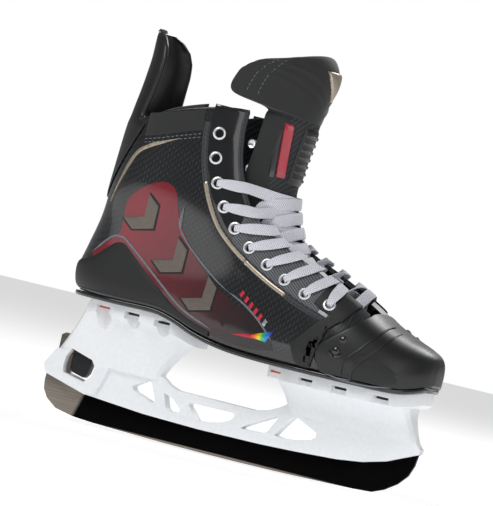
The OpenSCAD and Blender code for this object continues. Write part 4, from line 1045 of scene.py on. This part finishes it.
master = eyeletRing()
for side in (-1, 1):
    copies = []
    for k in range(len(eyelets)):
        p, n = nearEyelet(k, side, 0.0)
        copy = bpy.data.objects.new("eyelet", master.data.copy())
        bpy.context.scene.collection.objects.link(copy)
        turn = Vector(n).to_track_quat("Z", "Y").to_matrix().to_4x4()
        copy.data.transform(Matrix.Translation(Vector(p * mm)) @ turn)
        copies.append(copy)
    bpy.ops.object.select_all(action="DESELECT")
    for copy in copies:
        copy.select_set(True)
    bpy.context.view_layer.objects.active = copies[0]
    bpy.ops.object.join()
    rings = bpy.context.object
    rings.name = "eyeletRings" + ("Lateral" if side < 0 else "Medial")
    rings.data.materials.clear()
    rings.data.materials.append(looks["plated"])
    smoothed(rings, 40)
    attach(rings, "boot")
    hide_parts("lateral_eyelets" if side < 0 else "medial_eyelets")
bpy.data.objects.remove(master)


# ---- stitches: short rounded dashes on a line, all of one run in one mesh ----
stitchSet = {"length": 2.3, "pitch": 3.4, "wide": 0.55, "high": 0.35}


def stitchRun(name, line, normals, look="thread", body="boot"):
    s = stitchSet
    line, normals = np.asarray(line, float), np.asarray(normals, float)
    far = np.concatenate([[0], np.cumsum(np.linalg.norm(np.diff(line, axis=0), axis=1))])
    points, faces = [], []
    for at in np.arange(s["pitch"] / 2, far[-1], s["pitch"]):
        here = np.array([np.interp(at, far, line[:, k]) for k in range(3)])
        ahead = np.array([np.interp(min(at + 0.5, far[-1]), far, line[:, k]) for k in range(3)])
        before = np.array([np.interp(max(at - 0.5, 0), far, line[:, k]) for k in range(3)])
        n = unit(np.array([np.interp(at, far, normals[:, k]) for k in range(3)]))
        d = unit(ahead - before)
        c = unit(np.cross(n, d))
        base = len(points)
        for u, wide, high in ((-0.5, 0.5, 0.1), (-0.3, 1, 0.9), (0.3, 1, 0.9), (0.5, 0.5, 0.1)):
            for v, h in ((-1, 0), (-0.6, 1), (0.6, 1), (1, 0)):
                points.append(here + d * u * s["length"] + c * v * wide * s["wide"] / 2
                              + n * (h * high * s["high"] - 0.05))
        for i in range(3):
            for j in range(3):
                k = base + i * 4 + j
                faces.append((k, k + 4, k + 5, k + 1))
            faces.append((base + i * 4, base + i * 4 + 3, base + i * 4 + 7, base + i * 4 + 4))
        faces += [(base, base + 1, base + 2, base + 3), (base + 15, base + 14, base + 13, base + 12)]
    return addPiece(name, points, faces, look, body=body, smooth=60)


def stayStitches(name, h0, h1, t, side, lift, look="thread"):
    hs = np.linspace(h0, h1, 160)
    p, n = stayPoint(hs, np.full(160, t), side, lift)
    return stitchRun(name, p, n, look)


for side in (-1, 1):
    word = "Lateral" if side < 0 else "Medial"
    stayStitches("rearStitchA" + word, 140, 235, 0.97, side, 1.32)
    stayStitches("rearStitchB" + word, 140, 235, 1.07, side, 1.32)
    stayStitches("frontStitch" + word, 184, 248, 0.08, side, 2.17)
    stayStitches("tabStitch" + word, 135, 143, 0.12, side, 1.82)
    for k, drop in enumerate((0.0, 2.6)):
        line = smoothLine([(-97, 213.6 - drop), (-86, 216.4 - drop), (-75, 220 - drop), (-64, 223.6 - drop),
                           (-56, 226.2 - drop)], 8)
        p, n = onSide(line[:, 0], line[:, 1], side, 0.05)
        stitchRun(f"collarStitch{k + 1}" + word, p, n, "greyThread")
print("facings, eyelets and stitches made")

# ---- straps from the last eyelet to the sole ----
strapOuter = [(84, 118.5), (78, 124), (67, 113.5), (55, 99), (51.5, 92), (56, 83), (60, 80.5), (68, 80.5),
              (62, 88), (61.5, 94), (72, 107)]
straps = bothSides("toeStrap", strapOuter, "leather", lift=1.45, thick=1.2, step=3.0, bevel=0.3)
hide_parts("toe_straps")

# ---- toe cap ----
capSet = {"lift": 0.9, "wall": 3.8, "rim": 1.2, "tip": 148.3, "bottomGap": 3.9}
capRear = [(60, 76), (78, 76), (91, 68.5), (97, 69.5), (118.5, 92.5), (125, 97.5), (150, 97.5)]


def toePoint(x, f, out):
    x, f = np.broadcast_arrays(np.asarray(x, float), np.asarray(f, float))
    forward = x + out * ramp(x, 120, 148)
    low, top = soleZ(forward) + capSet["bottomGap"], crownZ(x) + out
    s, c = np.abs(np.sin(f)) ** (2 / archPower), np.abs(np.cos(f)) ** (2 / archPower)
    z = low + (top - low) * s
    y = np.where(f < math.pi / 2, -1, 1) * c * np.maximum(halfWidth(x, z) + out, 0.6)
    return np.stack([forward, y, z], -1)


def capEdge(f):
    x = np.full(len(f), 90.0)
    for _ in range(30):
        z = toePoint(x, f, 0)[:, 2]
        x = 0.5 * x + 0.5 * np.interp(z, [p[0] for p in capRear], [p[1] for p in capRear])
    return x + 0.3


def toeCap():
    f = np.linspace(0, math.pi, 73)
    rear = capEdge(f)
    rings = []
    for i in range(58):
        u = i / 57
        x = rear + (capSet["tip"] - rear) * math.sin(u * math.pi / 2) ** 1.15
        edge = min((x - rear).max() / capSet["rim"] / 2.2, 1)
        out = capSet["lift"] - 1.1 * (1 - math.sqrt(1 - (1 - edge) ** 2))
        inner = np.minimum(x, 144.6)
        rings.append(np.vstack([toePoint(x, f, out), toePoint(inner, f, capSet["lift"] - capSet["wall"])[::-1]]))
    points, faces = stripCapped(rings)
    last = len(points) - 146
    faces = faces[:-72]  # the tip is closed across, outside and inside, in place of a strip
    for base in (last, last + 73):
        for j in range(36):
            faces.append((base + j, base + j + 1, base + 71 - j, base + 72 - j)[:3 if j == 35 else 4])
    faces.append((last, last + 72, last + 73, last + 145))
    cap = addPiece("toeCap", points, faces, "moulded", smooth=50)
    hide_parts("toe_cap")


toeCap()
for k, (dx, dz) in enumerate([(11, -2), (18.5, -5)]):
    line = [(102 + dx, 124 + dz), (98 + dx, 114 + dz), (90 + dx, 102 + dz), (82 + dx, 93 + dz), (80 + dx, 84 + dz),
            (82 + dx, 82 + dz / 3)]
    bothSides(f"capRidge{k + 1}", band(line, 1.5, 0.15), "moulded", lift=1.65, thick=1.2, bevel=0.35, step=3.0)
bothSides("capSidePanel", [(104, 97), (118, 96), (130, 90), (130, 83), (118, 80), (100, 81), (99, 88)],
          "softLeather", lift=1.25, thick=0.6, bevel=0.2)
bothSides("capRivetPad", [(84, 108.5), (90.5, 111), (93, 106), (90, 93), (84.5, 91), (80.5, 94), (80.5, 99)],
          "patent", lift=1.45, thick=0.8, bevel=0.3, step=3.0)
bothSides("capSeam", band([(80, 79.5), (95, 77.3), (112, 77.5), (128, 80)], 1.0, 0.1), "greyLine", lift=1.3,
          thick=0.5, bevel=0.0, step=3.0)


def capRivets():
    # four domed heads, two on each side's pad
    domes = bmesh.new()
    for side in (-1, 1):
        for x, z in ((88.4, 105.1), (85.4, 96.4)):
            p, n = onSide(x, z, side, 1.45)
            place = Matrix.Translation(Vector(p * mm)) @ Vector(n).to_track_quat("Z", "Y").to_matrix().to_4x4()
            flat = Matrix.Diagonal((2.9 * mm, 2.9 * mm, 1.3 * mm, 1.0))
            bmesh.ops.create_uvsphere(domes, u_segments=32, v_segments=16, radius=1, matrix=place @ flat)
    mesh = bpy.data.meshes.new("capRivets")
    domes.to_mesh(mesh)
    domes.free()
    mesh.materials.append(looks["gloss"])
    rivets = bpy.data.objects.new("capRivets", mesh)
    bpy.context.scene.collection.objects.link(rivets)
    smoothed(rivets, 60)
    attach(rivets, "boot")
    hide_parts("toe_cap_rivets")


capRivets()
print("toe cap made")

# ---- tongue: one padded piece ----
tongueSet = {"bead": 1.1, "beadFrom": 56.0, "beadFull": 68.0, "ridge": 0.9, "ridgeRise": 0.55, "ridgeWidth": 1.5}
upperArches = [(11, 203, 0, 24.5, 33, 9), (13, 225, -4, 24.5, 33, 9), (16, 246, -6, 24.5, 34, 9),
               (16.7, 251.5, -7, 24.5, 36, 9), (17.2, 254.5, -7, 37, 60, 9), (20, 270, -6, 38, 61, 9),
               (22, 283, -1, 36.5, 56, 9), (21.5, 292, 4, 34.2, 48, 8.5), (18, 299, 12, 30.4, 39, 7),
               (14, 302.6, 20, 26, 31, 4.5)]


def tongueStations():
    lower = smoothLine(np.array(lowerArches, float), 6)
    upper = smoothLine(np.array(upperArches, float), 7)
    return np.vstack([lower, upper])


def tonguePoint(s, f, off, inner=False):
    f, tilt = np.asarray(f, float), math.radians(s[2])
    n = np.array([math.cos(tilt), 0, math.sin(tilt)])
    if inner:
        drop, w = s[5] + (s[4] - s[5]) * (1 - np.cos(f)), s[3] - s[5]
    else:
        drop, w = s[4] * (1 - np.cos(f)) - off, s[3] + off
    return np.array([s[0], 0, s[1]]) + np.outer(w * np.sin(f), [0, 1, 0]) - np.outer(drop, n)


def tongue():
    f = np.radians(np.linspace(-90, 90, 65))
    bead = tongueSet["bead"] * ramp(np.abs(f), *np.radians([tongueSet["beadFrom"], tongueSet["beadFull"]]))
    stations = tongueStations()
    rings = []
    for i, s in enumerate(stations):
        z = s[1]
        high = float(ramp(z, 205, 226))
        off = bead * high
        across = np.abs(np.sin(f)) * s[3]
        for start in (258, 266, 274):
            # raised lines that meet low in the middle and rise towards the edges
            away = (z - start - across * tongueSet["ridgeRise"]) / tongueSet["ridgeWidth"]
            off = off + tongueSet["ridge"] * float(ramp(z, 250, 257)) * np.exp(-away**2)
        end = min((len(stations) - 1 - i) / 4, 1)
        off = off - 1.6 * (1 - math.sqrt(1 - (1 - end) ** 2))
        rings.append(np.vstack([tonguePoint(s, f, off), tonguePoint(s, f, 0, True)[::-1]]))
    points, faces = stripCapped(rings)
    piece = addPiece("tonguePad", points, faces, "softLeather", body=None, smooth=55)
    piece.data.materials.append(looks["herring"])
    for polygon in piece.data.polygons:
        i, j = divmod(polygon.index, 130)
        if i < len(stations) - 1 and 12 <= j < 52 and 150 < stations[i][1] < 252:
            polygon.material_index = 1
    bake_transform(piece)
    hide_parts("tongue_lower", "tongue_upper")
    return stations


stations = tongue()


def tonguePatch(name, z0, z1, f0, f1, look, high, narrow=0.0, thick=1.6, body="tongue_top", lean=0.0):
    rows = [s for s in stations if z0 - 4 < s[1] < z1 + 4]
    zs = np.array([s[1] for s in rows])
    rings = []
    for i in range(25):
        u = i / 24
        z = z0 + (z1 - z0) * u
        s = [np.interp(z, zs, [r[k] for r in rows]) for k in range(6)]
        squeeze = 1 - narrow * (1 - u)
        f = np.radians(np.linspace(f0, f1, 25) * max(squeeze, 0.04) + lean * (u - 0.5))
        side = np.minimum(np.minimum(np.arange(25), np.arange(25)[::-1]) / 2, 1)
        end = min(i, 24 - i) / 2
        off = high - 0.7 * (1 - np.sqrt(1 - (1 - side) ** 2)) - 0.7 * (1 - math.sqrt(1 - (1 - min(end, 1)) ** 2))
        rings.append(np.vstack([tonguePoint(s, f, off), tonguePoint(s, f, high - thick)[::-1]]))
    points, faces = stripCapped(rings)
    return addPiece(name, points, faces, look, body=body, smooth=50)


insert = tonguePatch("tongueInsertLateral", 208, 246, -56, -43, "redGloss", 1.2, lean=-12)
tonguePatch("tongueInsertMedial", 208, 246, 43, 56, "redGloss", 1.2, lean=12)
tonguePatch("tongueRail", 205, 247, -30, 30, "moulded", 1.1)
for k in range(7):
    tonguePatch(f"railRib{k + 1}", 208 + 5.4 * k, 210.4 + 5.4 * k, -27, 27, "gloss", 2.0, thick=1.4)
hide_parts("tongue_insert")
badge = tonguePatch("tongueBadge", 270, 291.5, -22, 22, "bronze", 1.9, narrow=1.0, thick=2.2)
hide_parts("tongue_badge")
for side in (-1, 1):
    tonguePatch("insertBorder" + ("Lateral" if side < 0 else "Medial"), 207, 250, side * 59, side * 66, "patent", 0.9,
                lean=side * 12)
for k, f in enumerate((-78, -70, 70, 78)):
    rows = [s for s in stations if 258 < s[1] < 296]
    centre = np.array([tonguePoint(s, np.radians([f]), 1.25)[0] for s in rows])
    outward = np.array([tonguePoint(s, np.radians([f]), 2.25)[0] for s in rows]) - centre
    stitchRun(f"tongueStitch{k + 1}", centre, outward, "greyThread", body="tongue_top")
print("tongue made")

# ---- tendon guard: one moulding from the wedge on the heel to its free top ----
guardSet = {"thick": 4.2, "baseThick": 1.25, "seat": 0.15}
guardRows = [(231.5, 35, 19), (238, 34, 19), (246, 32.5, 19.5), (256, 31, 19.5), (266, 30, 19.5), (276, 28, 19),
             (284, 25, 17), (290, 20, 13), (293.5, 13, 8)]
baseEdge = [(166, -127), (196, -112.5), (224, -99), (236, -97)]


def guardRing(z, f):
    back = float(curve(z, bootLines["back"]))
    outer = inner = None
    if z < 231.5:
        x = back + (float(np.interp(z, *np.array(baseEdge).T)) - back) * (1 - np.cos(f))
        signs = np.where(f < 0, -1, 1)
        outer = np.array([onSide(a, z, b, guardSet["seat"] + guardSet["baseThick"])[0] for a, b in zip(x, signs)])
        inner = np.array([onSide(a, z, b, guardSet["seat"])[0] for a, b in zip(x, signs)])
    if z > 222:
        w, d = (float(np.interp(z, [r[0] for r in guardRows], [r[k] for r in guardRows])) for k in (1, 2))
        t = guardSet["thick"]
        free = [np.stack([back + k + (d - k) * (1 - np.cos(f)), (w - k) * np.sin(f), np.full(len(f), z)], -1)
                for k in (0, t)]
        if outer is None:
            return free
        u = float(ramp(z, 222, 231.5))
        return outer * (1 - u) + free[0] * u, inner * (1 - u) + free[1] * u
    return outer, inner


def tendonGuard():
    f = np.radians(np.linspace(-90, 90, 49))
    rows = list(np.linspace(166.5, 222, 28)) + list(np.linspace(223, 231.5, 8)) + list(np.linspace(233, 284, 34))
    rows += [286, 288, 290, 291.5, 292.6, 293.3]
    rings = []
    for z in rows:
        outer, inner = guardRing(z, f)
        edge = np.minimum(np.minimum(np.arange(49), np.arange(49)[::-1]) / 2, 1)[:, None]
        middle = (outer + inner) / 2
        round_ = 0.35 + 0.65 * np.sqrt(1 - (1 - edge) ** 2)
        rings.append(np.vstack([middle + (outer - middle) * round_, (middle + (inner - middle) * round_)[::-1]]))
    points, faces = stripCapped(rings)
    piece = addPiece("tendonGuard", points, faces, "moulded", body=None, smooth=50)
    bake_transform(piece)
    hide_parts("tendon_guard", "guard_base")


tendonGuard()
print("tendon guard made")


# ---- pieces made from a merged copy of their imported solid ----
def merged(node, name, look, body, bevel=0.5, flat=0.4, smooth=35.0):
    source = bpy.data.objects[node]
    mesh = source.data.copy()
    mesh.transform(source.matrix_world)
    mesh.materials.clear()
    mesh.materials.append(looks[look])
    piece = bpy.data.objects.new(name, mesh)
    bpy.context.scene.collection.objects.link(piece)
    bm = bmesh.new()
    bm.from_mesh(mesh)
    bmesh.ops.remove_doubles(bm, verts=bm.verts, dist=2e-6)
    bmesh.ops.dissolve_limit(bm, angle_limit=math.radians(flat), verts=bm.verts, edges=bm.edges)
    bmesh.ops.recalc_face_normals(bm, faces=bm.faces)
    bm.to_mesh(mesh)
    bm.free()
    if bevel:
        applied(piece, "BEVEL", width=bevel * mm, segments=3, limit_method="ANGLE", angle_limit=math.radians(32))
    smoothed(piece, smooth)
    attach(piece, body)
    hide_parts(node)
    return piece


merged("blade_holder", "bladeHolder", "nylon", "boot", bevel=0.7)
merged("runner", "steelRunner", "steelRunner", "runner", bevel=0.12)
merged("trigger", "releaseTrigger", "blackSteel", "trigger", bevel=0.3)
nodeLooks = {
    "holder_screws": "blackSteel", "holder_rivets": "copper", "rivet_burrs": "brassRing", "insole_board": "board",
    "trigger_pin": "blackSteel", "trigger_spring": "springSteel", "lace_aglets": "clearTip",
    "guard_pull": "binding",
}
for node, look in nodeLooks.items():
    mesh = bpy.data.objects[node].data
    mesh.materials.clear()
    mesh.materials.append(looks[look])
print("holder, runner and small parts made")

# ---- floor, lights and view ----
stageSet = {"floor": "#f4f4f5", "reach": 9.0, "sky": 0.2, "backdrop": 1.0, "key": 19.0, "fill": 6.0, "rim": 16.0}
bpy.ops.mesh.primitive_plane_add(size=stageSet["reach"], location=(0, 0, -0.0006))
floor = bpy.context.object
floor.name = "floor"
floor.data.materials.append(grained("paleFloor", stageSet["floor"], stageSet["floor"], 50.0, 0.9, 0.95, 0.0,
                                   Emission_Color=(1, 1, 1, 1), Emission_Strength=0.5))


def softLight(name, power, size, place, aim=(0.0, 0.0, 0.15)):
    bpy.ops.object.light_add(type="AREA", location=place)
    lamp = bpy.context.object
    lamp.name = name
    lamp.data.energy = power
    lamp.data.size = size
    lamp.rotation_euler = (Vector(aim) - Vector(place)).to_track_quat("-Z", "Y").to_euler()


softLight("keyLight", stageSet["key"], 0.9, (-0.5, -1.5, 1.6))
softLight("fillLight", stageSet["fill"], 1.2, (1.5, -1.3, 0.7))
softLight("rimLight", stageSet["rim"], 0.8, (0.4, 1.5, 1.5))
world = bpy.data.worlds.new("paleRoom")
world.use_nodes = True
links, room = world.node_tree.links, world.node_tree.nodes
room["Background"].inputs["Color"].default_value = (1, 1, 1, 1)
# the room lights the boot softly while the backdrop itself stays white
seen, level = room.new("ShaderNodeLightPath"), room.new("ShaderNodeMapRange")
level.inputs["To Min"].default_value = stageSet["sky"]
level.inputs["To Max"].default_value = stageSet["backdrop"]
links.new(seen.outputs["Is Camera Ray"], level.inputs["Value"])
links.new(level.outputs["Result"], room["Background"].inputs["Strength"])
bpy.context.scene.world = world
bpy.context.scene.view_settings.view_transform = "Standard"
